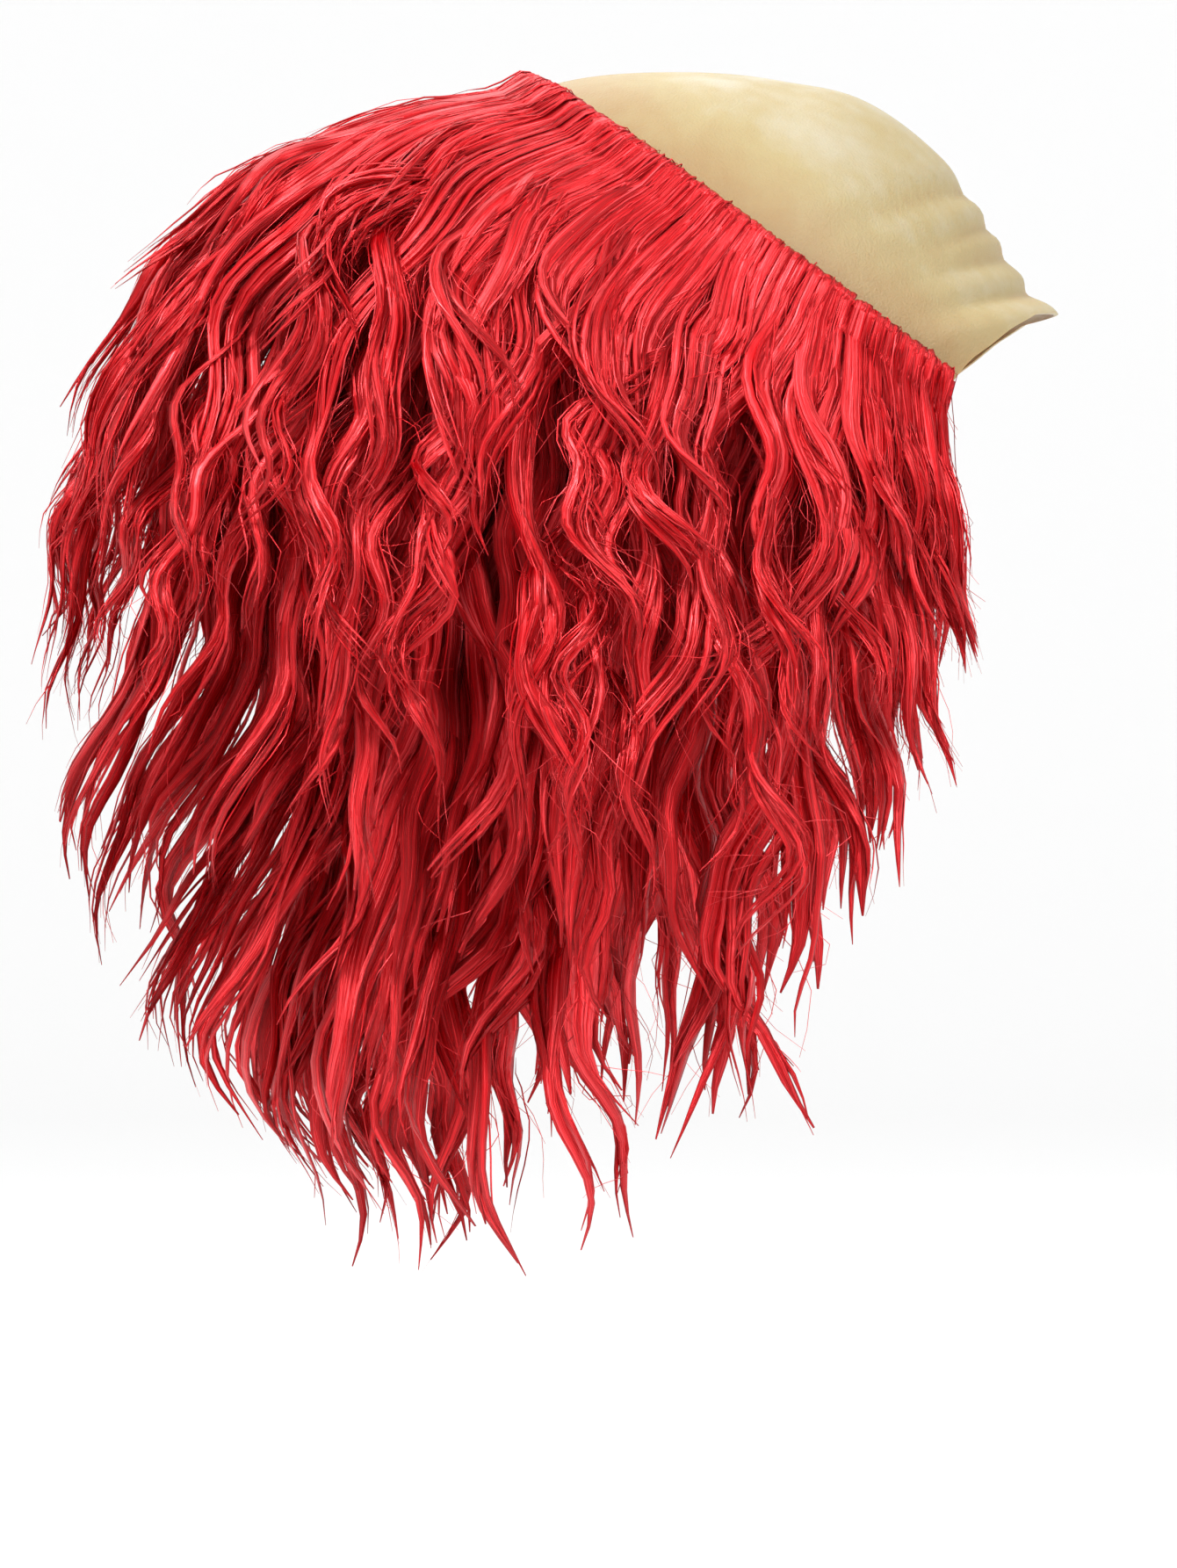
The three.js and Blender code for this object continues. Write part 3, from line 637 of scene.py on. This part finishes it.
def bundle_lines(row, guides, per_guide, stations, folded, draw):
    """The bundles of each guide as lines, with the direction across them and their half widths."""
    each = {k: np.repeat(v, per_guide)[:, None] for k, v in guides.items()}
    count = len(each["angle"])
    member = np.tile(np.linspace(-1, 1, per_guide), count // per_guide)
    member = member + draw.uniform(-0.12, 0.12, count)
    angle = (each["angle"] + member[:, None] * each["spacing"] / 2)[:, 0]
    length = each["length"][:, 0] * draw.uniform(0.86, 1.02, count)
    direction, drop, across = hair_paths(row_direction(row, angle), length, stations - 1)
    guide_paths = hair_paths(row_direction(row, guides["angle"]), guides["length"], stations - 1)
    guide_direction = np.repeat(guide_paths[0], per_guide, axis=0)
    along = np.linspace(0, 1, stations)[None]
    travelled = along * length[:, None]

    tops = layer_tops(direction, drop)
    under = tops[row + 1] if row + 1 < len(ROW_NAMES) else np.full_like(drop, hair_foot)
    foot = under + np.minimum(LAYER_GAP, under - hair_foot)
    thick = np.maximum(tops[row] - foot, BUNDLE_THICKNESS)

    grown = smooth((travelled - each["straight"]) / 0.024)
    phase = 2 * math.pi * travelled / each["wave"] + each["phase"]
    phase = phase + 0.55 * np.sin(travelled / 0.024 + 3 * each["phase"])
    size = grown * (0.75 + 0.4 * np.sin(travelled / 0.019 + 5 * each["phase"]))
    phase = phase + draw.normal(0, 0.14, (count, 1)) + draw.normal(0, 0.45, (count, 1)) * along
    long_phase = 2 * math.pi * travelled / each["long_wave"] + 4 * each["phase"]
    tip = smooth((along - 0.7) / 0.3) ** 1.5

    bounce = each["bounce"] * size * np.sin(phase + each["lean"])
    bounce = bounce + 0.0035 * grown * member[:, None] * np.sin(each["twist"] + travelled / 0.03)
    share = each["share"] + draw.uniform(-0.08, 0.08, (count, 1))
    settled = smooth(travelled / 0.03)
    height = foot + thick * np.clip(share, 0.1, 0.95) * (0.25 + 0.75 * settled)
    height = height - ROOT_DROP * (1 - settled)
    height = height + 0.5 * thick * np.tanh(2 * bounce / thick)
    height = height + each["lift"] * smooth((travelled - 0.02) / 0.04) + each["tip_rise"] * tip
    risen = smooth((travelled - each["begin"] * length[:, None]) / TUFT_RISES_OVER)
    height = height - 0.7 * thick * (1 - risen) * (each["begin"] > 0)
    radius = head_reach(direction) + height
    to_guide = dot(guide_direction - direction, across) * radius
    gathering = TIP_GATHERING if row == 0 else INNER_TIP_GATHERING
    gathered = each["clumping"] + (gathering - each["clumping"]) * tip
    swing = each["swing"] * size * np.sin(phase)
    swing = swing + gathered * smooth((travelled - 0.014) / 0.05) * to_guide
    swing = swing + each["long_swing"] * grown * np.sin(long_phase)
    swing = swing + each["drift"] * smooth(along) + each["flick"] * tip
    turned = unit(direction + across * (swing / radius)[..., None])
    line = hair_point(*settle(turned, drop), height)
    line = eased(line, round(EASING * stations / float(length.mean())))

    width = BUNDLE_ROOT_WIDTH + (BUNDLE_WIDTH - BUNDLE_ROOT_WIDTH) * smooth(3 * along)
    taper = read(BUNDLE_TAPER, along)
    half_width = 0.5 * width * taper * draw.uniform(0.5, 1.4, (count, 1))
    half_width = half_width * (1 if row == 0 else INNER_WIDTH)
    half_thick = 0.5 * BUNDLE_THICKNESS * taper * draw.uniform(0.7, 1.2, (count, 1))
    half_thick = half_thick * (0.6 + 0.4 * smooth(4 * along))
    begun = np.where(each["begin"] > 0, 0.15 + 0.85 * risen, 1)
    bundles = {
        "line": line,
        "across": across,
        "half_width": half_width * begun,
        "half_thick": half_thick * begun,
    }
    first = int(each["begin"].min() * stations)
    bundles = {name: values[:, first:] for name, values in bundles.items()}
    return fold_over(angle, bundles, draw) if folded else bundles


def fold_over(angle, bundles, draw):
    """Starts the bundles under the hairline and brings them round its edge."""
    nudge = draw.normal(0, 0.0003, len(angle))
    start = []
    for offset, height in FOLD:
        start.append(head_point(row_direction(0, angle, offset + nudge), height + nudge))
    folded = {}
    for name, values in bundles.items():
        first = np.repeat(values[:, :1], len(FOLD), axis=1)
        folded[name] = np.concatenate([first, values[:, 1:]], axis=1)
    folded["line"][:, : len(FOLD)] = np.stack(start, axis=1)
    return folded


def sample(values, which, place):
    """Smooth values of rows of stations, at places from 0 to 1 along them."""
    last = values.shape[1] - 1
    f = np.clip(place, 0, 1) * last
    i = np.clip(np.floor(f).astype(int), 0, last - 1)
    t = (f - i)[..., None] if values.ndim == 3 else f - i
    a, b, c, d = (values[which[:, None], np.clip(i + k, 0, last)] for k in (-1, 0, 1, 2))
    return b + 0.5 * t * (c - a + t * (2 * a - 5 * b + 4 * c - d + t * (3 * (b - c) + d - a)))


def strand_lines(bundles, per_bundle, draw):
    """Fine strands that lie on the bundles, fray at their tips and stray a little."""
    count = len(bundles["line"]) * per_bundle
    which = np.repeat(np.arange(len(bundles["line"])), per_bundle)
    whole = np.linalg.norm(np.diff(bundles["line"], axis=1), axis=-1).sum(1)[which]
    share = np.minimum(STRAND_LENGTH / whole, 1)
    start = draw.uniform(-0.05, 1.06 - share, count)
    end = start + share * draw.uniform(0.8, 1.15, count)
    along = np.linspace(0, 1, STRAND_STATIONS)[None]
    place = np.clip(start, 0, 1)[:, None] * (1 - along) + np.minimum(end, 1)[:, None] * along
    line = sample(bundles["line"], which, place)
    tangent, side, up = frames(line, sample(bundles["across"], which, place))
    half_width = sample(bundles["half_width"], which, place)
    half_thick = sample(bundles["half_thick"], which, place)
    round_to = draw.uniform(0, 2 * math.pi, (count, 1)) + draw.uniform(-1, 1, (count, 1)) * along
    out = 0.6 + 0.5 * smooth(4 * along) - 0.3 * smooth(4 * along - 3) * (place < 0.97)
    stray = draw.random((count, 1)) ** 2.2 * 0.0036 * along * smooth(8 * place - 1)
    wobble = draw.normal(0, 0.00018, (2, count, STRAND_STATIONS))
    wander = 2 * math.pi * (draw.random((2, count, 1)) + draw.uniform(0.8, 2.6, (2, count, 1)) * along)
    wobble = wobble + draw.uniform(0, 0.0006, (2, count, 1)) * np.sin(wander)
    wide = np.cos(round_to) * (half_width * out + stray) + wobble[0]
    high = np.sin(round_to) * (half_thick * out * 1.3 + stray) + wobble[1]
    past = np.clip(end - 1, 0, 0.05)[:, None] * whole[:, None] * smooth(2 * along - 1)
    line = line + side * wide[..., None] + up * high[..., None] + tangent * past[..., None]
    width = 0.5 * STRAND_WIDTH * draw.uniform(0.6, 1.5, (count, 1))
    width = width * np.clip(smooth(6 * along) * smooth(3.5 * (1 - along)), 0.2, 1)
    return {"line": line, "across": side, "half_width": width, "half_thick": width}


# Loose hairs that stand off the bundles they start from
LOOSE_STATIONS = 7
LOOSE_WIDTH = 0.0003
LOOSE_LENGTHS = (0.010, 0.055)
LOOSE_ASIDE, LOOSE_BOW, LOOSE_RISE = 0.007, 0.0034, 0.0045  # how far loose hairs stray


def loose_lines(bundles, count, draw):
    which = draw.integers(0, len(bundles["line"]), count)
    whole = np.linalg.norm(np.diff(bundles["line"], axis=1), axis=-1).sum(1)[which]
    share = np.minimum(draw.uniform(*LOOSE_LENGTHS, count) / whole, 0.7)
    start = (0.04 + 0.96 * draw.random(count) ** 0.7) * (1 - share)
    along = np.linspace(0, 1, LOOSE_STATIONS)[None]
    place = start[:, None] + share[:, None] * along
    line = sample(bundles["line"], which, place)
    tangent, side, up = frames(line, sample(bundles["across"], which, place))
    bend = draw.uniform(0.8, 2.4, (count, 1))
    bow = np.sin(math.pi * along * draw.uniform(1, 2.4, (count, 1)))
    aside = draw.normal(0, LOOSE_ASIDE, (count, 1)) * along**bend
    aside = aside + draw.normal(0, LOOSE_BOW, (count, 1)) * bow
    rise = 0.0008 + np.abs(draw.normal(0, LOOSE_RISE, (count, 1))) * along ** (3.2 - bend)
    line = line + side * aside[..., None] + up * rise[..., None]
    width = 0.5 * LOOSE_WIDTH * draw.uniform(0.8, 1.2, (count, 1)) * (1 - 0.6 * along**2)
    return {"line": line, "across": side, "half_width": width, "half_thick": width}


# The sewn tracks, and the roll of bunched hair along the hairline
WEFT_STEP = math.radians(3)
WEFT_SECTION = [(-1, 0), (1, 0), (1, 0.6), (0.8, 1), (0, 0.86), (-0.8, 1), (-1, 0.6)]
ROLL_STEP = math.radians(0.6)
ROLL_SIDES = 8
ROLL_RUN = 0.0006
ROLL_HEIGHT = 0.0045
ROLL_RADIUS = 0.0012
ROLL_BUMP = 0.0004
ROLL_BUMP_LENGTH = 0.006


def ring_part(rings, along, closed_round=1.0):
    """A part of a mesh: one closed body through rings of points."""
    stations, sides = rings.shape[:2]
    ends = rings[[0, -1]].mean(1)
    points = np.concatenate([rings.reshape(-1, 3), ends])
    faces, places = tube_faces(1, stations, sides)
    uv = [np.stack([p[:, 1] * along, p[:, 0] * closed_round], -1) for p in places]
    return {"points": points, "faces": faces, "uv": uv, "tone": np.full(len(points), 0.35)}


def weft_part(row):
    end = row_end_angle(row)
    angle = np.linspace(-end, end, 2 * math.ceil(end / WEFT_STEP) + 1)
    rings = []
    for share, height in WEFT_SECTION:
        direction = row_direction(row, angle, (1 + share) * WEFT_WIDTH / 2)
        rings.append(head_point(direction, cap_outside + (0.2 + 0.5 * height) * WEFT_WALL))
    return ring_part(np.stack(rings[::-1], axis=1), 2 * end * CROWN_RISE, 2 * WEFT_WIDTH)


def roll_part():
    end = row_end_angle(0)
    angle = np.linspace(-end, end, 2 * math.ceil(end / ROLL_STEP) + 1)
    turn = 2 * math.pi * angle * CROWN_RISE / ROLL_BUMP_LENGTH
    bump = ROLL_BUMP * (np.sin(turn + 2 * np.sin(turn / 3.7)) + 0.5 * np.sin(2.7 * turn))
    bump = bump - ROLL_RADIUS * 0.8 * (np.abs(angle) > end - ROLL_STEP / 2)
    rings = []
    for k in range(ROLL_SIDES):
        side = 2 * math.pi * k / ROLL_SIDES
        radius = ROLL_RADIUS + bump
        direction = row_direction(0, angle, ROLL_RUN + math.cos(side) * radius)
        rings.append(head_point(direction, ROLL_HEIGHT + math.sin(side) * radius))
    return ring_part(np.stack(rings[::-1], axis=1), 2 * end * CROWN_RISE, 2 * math.pi * ROLL_RADIUS)


PIECE_TRIANGLES = 180000


def shared_out(parts):
    """The parts in order, in pieces that stay under PIECE_TRIANGLES."""
    chunks, size = [[]], 0
    for part in parts:
        triangles = 2 * len(part["faces"][0]) + len(part["faces"][1])
        if size + triangles > PIECE_TRIANGLES:
            chunks.append([])
            size = 0
        chunks[-1].append(part)
        size += triangles
    return chunks


def build_row(row):
    """One row's track, bundles and strands, which stand for its node."""
    node = "hair_row_" + ROW_NAMES[row]
    draw = np.random.default_rng(100 + row)
    bundle_parts, strand_parts, loose_parts = [weft_part(row)], [], []
    if row == 0:
        bundle_parts.append(roll_part())
    for layer in CLUMPS[ROW_NAMES[row]]:
        guides = make_guides(row, layer, draw)
        folded = row == 0 and not layer.tufts
        wanted = 4 * np.ceil(guides["length"] / layer.step / 4).astype(int)
        for stations in np.unique(wanted):
            group = {k: v[wanted == stations] for k, v in guides.items()}
            bundles = bundle_lines(row, group, layer.bundles, stations, folded, draw)
            n, m = bundles["line"].shape[:2]
            along = np.linspace(0, 1, m)
            knots = draw.uniform(0.7, 1.3, (n, RIB_KNOTS, BUNDLE_SIDES))
            ribs = sample(knots, np.arange(n), np.broadcast_to(along, (n, m)))
            turn = draw.normal(0, BUNDLE_TURN, (n, 1)) * smooth(2 * along)
            tone = draw.uniform(0.15, 0.75, n)
            bundle_parts.append(tubes(bundles, BUNDLE_SIDES, tone, draw, ribs, turn))
            strands = strand_lines(bundles, layer.strands, draw)
            tone = draw.random(n * layer.strands)
            strand_parts.append(tubes(strands, STRAND_SIDES, tone, draw))
            loose = loose_lines(bundles, int(layer.loose * n), draw)
            tone = draw.uniform(0.5, 1, len(loose["line"]))
            loose_parts.append(tubes(loose, STRAND_SIDES, tone, draw))
    for kind, parts in (("bundles", bundle_parts), ("strands", strand_parts), ("loose", loose_parts)):
        for i, chunk in enumerate(shared_out(parts)):
            add_piece(f"{node}_{kind}_{i + 1}", joined(chunk), hair_material, "hair", node)


# The caps, as shells between a curve from side to side in front and one behind
LATEX_GRID = (52, 84)
KNIT_GRID = (50, 42)
BROW_FINENESS = 1.6
EDGE_FROM, EDGE_TO = math.radians(-75), math.radians(75)
HEM_WIDTH, HEM_RISE = 0.007, 0.0005


def level_direction(turn, up):
    """A direction at an angle round from straight ahead, and an angle up."""
    flat = np.stack([np.sin(turn), -np.cos(turn), np.zeros_like(turn)], -1) * np.cos(up)[..., None]
    return flat + np.sin(up)[..., None] * np.array([0, 0, 1])


def edge_directions(turn, over):
    """Where the head's surface crosses an edge: over(point) is above 0 where it is past it."""
    low, high = np.full_like(turn, EDGE_FROM), np.full_like(turn, EDGE_TO)
    for _ in range(40):
        middle = (low + high) / 2
        past = over(head_point(level_direction(turn, middle), 0.0)) > 0
        low, high = np.where(past, low, middle), np.where(past, middle, high)
    return level_direction(turn, (low + high) / 2)


def last_true(values, test):
    return values[int(np.argmin(test)) - 1]


def over_brow(point):
    forward = (centre[1] - point[..., 1]) / CROWN_RISE
    edge = [((centre - temple)[1] / CROWN_RISE, (temple - centre)[2] / CROWN_RISE)] + BROW_EDGE[::-1]
    xs, ys = np.array(edge).T
    return (point[..., 2] - centre[2]) / CROWN_RISE - np.interp(forward, xs, ys)


def over_rim(point):
    share = (point[..., 1] - ear_tab[1]) / (nape[1] - ear_tab[1])
    return point[..., 2] - (ear_tab[2] + share * (nape[2] - ear_tab[2]))


def slerp(a, b, share):
    angle = np.arccos(np.clip(dot(a, b), -1, 1))[None, :, None]
    share = share[:, None, None]
    return (np.sin((1 - share) * angle) * a + np.sin(share * angle) * b) / np.sin(angle)


def shell_part(direction, low, high, tone):
    """A part of a mesh: a closed wall between two heights over a grid of directions."""
    rows, columns = direction.shape[:2]
    top, under = head_point(direction, high), head_point(direction, low)
    points = np.concatenate([top.reshape(-1, 3), under.reshape(-1, 3)])
    grid = np.arange(rows * columns).reshape(rows, columns)
    beneath = grid + rows * columns
    upper = np.stack([grid[:-1, :-1], grid[:-1, 1:], grid[1:, 1:], grid[1:, :-1]], -1).reshape(-1, 4)
    lower = np.stack([beneath[:-1, :-1], beneath[1:, :-1], beneath[1:, 1:], beneath[:-1, 1:]], -1)
    border = np.concatenate([grid[0, :-1], grid[:-1, -1], grid[-1, :0:-1], grid[:0:-1, 0]])
    following = np.roll(border, -1)
    wall = np.stack([following, border, border + rows * columns, following + rows * columns], -1)
    quads = np.concatenate([upper, lower.reshape(-1, 4), wall])
    flat = points[quads.ravel()][:, [1, 2]]
    return {
        "points": points, "faces": [quads, np.zeros((0, 3), int)], "uv": [flat, np.zeros((0, 2))],
        "tone": np.concatenate([tone.ravel(), tone.ravel()]),
    }


CREASE_DEPTH = 0.0008
CREASE_HALF_WIDTH = 0.021  # share of CROWN_RISE
CREASE_REACH = 0.045
# Painted shade: how much darker the latex is painted along the creases
CREASE_PAINTED_SHADE = 0.5
HAIRLINE_PAINTED_SHADE_WIDTH = 0.03  # painted shade: the latex is painted darker this far ahead of the hairline
CROWN_FOLD = 0.955  # painted highlight: the latex is painted lighter in a faint band where a fold runs round the crown here, as a direction's upward share
CROWN_FOLD_WIDTH, CROWN_FOLD_PAINTED_HIGHLIGHT = 0.02, 0.4
CROWN_FOLD_BACK = 0.3  # how far back the fold runs, as a direction's backward share


def creases(direction):
    """Fine creases along the middle of the brow's wrinkles and between them, from 0 to 1, cut into the
    latex and also painted darker as painted shade.
    """
    up = brow_height(direction)
    side = np.arctan2(direction[..., 0], -direction[..., 1])
    found = np.zeros_like(up)
    lines = [at for at, _ in WRINKLES]
    lines = sorted(lines + [(a + b) / 2 for a, b in zip(lines, lines[1:])])
    for i, at in enumerate(lines):
        line = at + 0.012 * np.sin(3 * side + 1.7 * i) + 0.006 * np.sin(8 * side + i)
        found = found + (1 - 0.55 * (i % 2)) * np.exp(-(((up - line) / CREASE_HALF_WIDTH) ** 2))
    ahead = run_ahead_of_hairline(direction)
    return np.minimum(found, 1) * smooth(ahead / CREASE_REACH) * (direction[..., 1] < 0)


def build_bald_cap():
    turns = np.radians(np.arange(0, 90, 0.25))
    front = edge_directions(turns, over_brow)
    widest = last_true(turns, -head_point(front, 0.0)[:, 1] > TEMPLE_FORWARD * CROWN_RISE)
    seam_end = temple + hair_fall * LATEX_OVERLAP
    angles = np.radians(np.arange(0, 180, 0.25))
    seam = head_point(row_direction(0, angles, LATEX_OVERLAP), 0.0)
    seam_widest = last_true(angles, seam[:, 1] > seam_end[1])
    across = np.linspace(-1, 1, LATEX_GRID[0] + 1)
    near = edge_directions(across * widest, over_brow)
    far = row_direction(0, across * seam_widest, LATEX_OVERLAP)
    direction = unit(slerp(near, far, np.linspace(0, 1, LATEX_GRID[1] + 1) ** BROW_FINENESS))
    relief = brow_relief(direction)
    crease = creases(direction)
    # Painted shade: the latex is painted darker just ahead of the hairline
    clear = smooth(run_ahead_of_hairline(direction) / HAIRLINE_PAINTED_SHADE_WIDTH)
    # Painted highlight: the latex is painted lighter along a faint fold round the crown
    fold = smooth(1 - np.abs(direction[..., 2] - CROWN_FOLD) / CROWN_FOLD_WIDTH)
    fold = fold * (direction[..., 1] < CROWN_FOLD_BACK)
    # The tone: painted shade ahead of the hairline and along the creases, less the crown fold's painted
    # highlight
    tone = np.maximum(1 - clear, CREASE_PAINTED_SHADE * crease) - CROWN_FOLD_PAINTED_HIGHLIGHT * fold * clear
    part = shell_part(direction, relief, relief + LATEX_WALL - CREASE_DEPTH * crease, tone)
    add_piece("bald_cap_latex", part, latex_material, "latex", "bald_cap")


def build_stretch_cap():
    turns = np.radians(np.arange(0, 180, 0.25))
    rim = head_point(edge_directions(turns, over_rim), 0.0)
    first = last_true(turns, rim[:, 1] < ear_tab[1])
    angles = np.radians(np.arange(0, 180, 0.25))
    front = head_point(row_direction(0, angles, 0.0), 0.0)
    widest = last_true(angles, front[:, 1] > temple[1])
    across = np.linspace(-1, 1, KNIT_GRID[0] + 1)
    near = row_direction(0, across * widest, 0.0)
    turn = np.sign(across) * (math.pi - np.abs(math.pi - first) * np.abs(across))
    far = edge_directions(np.where(across == 0, math.pi, turn), over_rim)
    direction = unit(slerp(near, far, np.linspace(0, 1, KNIT_GRID[1] + 1)))
    rim_gap = dot(far - direction, far - direction) ** 0.5 * CROWN_RISE
    hem = HEM_RISE * smooth(2 - 2 * rim_gap / HEM_WIDTH)
    part = shell_part(direction, cap_inside - 0.4 * hem, cap_outside + hem, hem / HEM_RISE)
    add_piece("stretch_cap_knit", part, knit_material, "stretch_fabric", "stretch_cap")


hair_material = make_hair_material()
latex_material = make_latex_material()
knit_material = make_knit_material()
build_bald_cap()
build_stretch_cap()
for row in range(len(ROW_NAMES)):
    build_row(row)


# Camera, light and floor
PHOTO_WIDTH, PHOTO_HEIGHT = 1340, 1785
METRES_PER_PIXEL = 0.000235
ORIGIN_PIXEL = (760, 88)
LENS, SENSOR = 200, 36
frame_height = PHOTO_HEIGHT * METRES_PER_PIXEL
picture_middle = np.array([0, PHOTO_WIDTH / 2, PHOTO_HEIGHT / 2])
aim = METRES_PER_PIXEL * (np.array([0, *ORIGIN_PIXEL]) - picture_middle)
camera_data = bpy.data.cameras.new("camera")
camera_data.lens, camera_data.sensor_width = LENS, SENSOR
camera = bpy.data.objects.new("camera", camera_data)
bpy.context.scene.collection.objects.link(camera)
camera.location = aim - np.array([frame_height * LENS / SENSOR, 0, 0])
camera.rotation_euler = (math.pi / 2, 0, -math.pi / 2)
bpy.context.scene.camera = camera


def add_light(name, place, size, watts):
    data = bpy.data.lights.new(name, "AREA")
    data.shape, data.size, data.energy = "DISK", size, watts
    light = bpy.data.objects.new(name, data)
    light.location = place
    light.rotation_euler = Vector(place - aim).to_track_quat("Z", "Y").to_euler()
    bpy.context.scene.collection.objects.link(light)


add_light("key", np.array([-1.1, -1.0, 1.25]), 0.6, 21)
add_light("top", np.array([-0.6, 0.8, 1.35]), 0.6, 33)
add_light("back", np.array([1.2, 0.3, 1.2]), 1.2, 8)
world = bpy.data.worlds.new("studio")
world.use_nodes = True
world.node_tree.nodes["Background"].inputs["Color"].default_value = (1, 1, 1, 1)
world.node_tree.nodes["Background"].inputs["Strength"].default_value = 0.95
bpy.context.scene.world = world
bpy.context.scene.view_settings.view_transform = "Standard"

# A pale floor that sweeps up all round, far behind the camera
FLOOR_DEPTH, FLOOR_FLAT, SWEEP_RADIUS, SWEEP_SIDES = 0.43, 4.0, 1.6, 64


def build_floor():
    turn = np.radians(np.arange(0, 91, 6))
    out = np.concatenate([[0.01, FLOOR_FLAT / 2], FLOOR_FLAT + SWEEP_RADIUS * np.sin(turn)])
    up = np.concatenate([[0, 0], SWEEP_RADIUS * (1 - np.cos(turn))]) - FLOOR_DEPTH
    round_to = 2 * math.pi * np.arange(SWEEP_SIDES) / SWEEP_SIDES
    points = [(r * math.cos(a), r * math.sin(a), z) for r, z in zip(out, up) for a in round_to]
    faces = [tuple(range(SWEEP_SIDES))]
    for i in range(len(out) - 1):
        for j in range(SWEEP_SIDES):
            k = (j + 1) % SWEEP_SIDES
            a, b = i * SWEEP_SIDES, (i + 1) * SWEEP_SIDES
            faces.append((a + j, b + j, b + k, a + k))
    mesh = bpy.data.meshes.new("floor")
    mesh.from_pydata(points, [], faces)
    mesh.shade_smooth()
    mesh.materials.append(shader("floor", (0.95, 0.95, 0.95), 0.9)[0])
    floor = bpy.data.objects.new("floor", mesh)
    bpy.context.scene.collection.objects.link(floor)


build_floor()
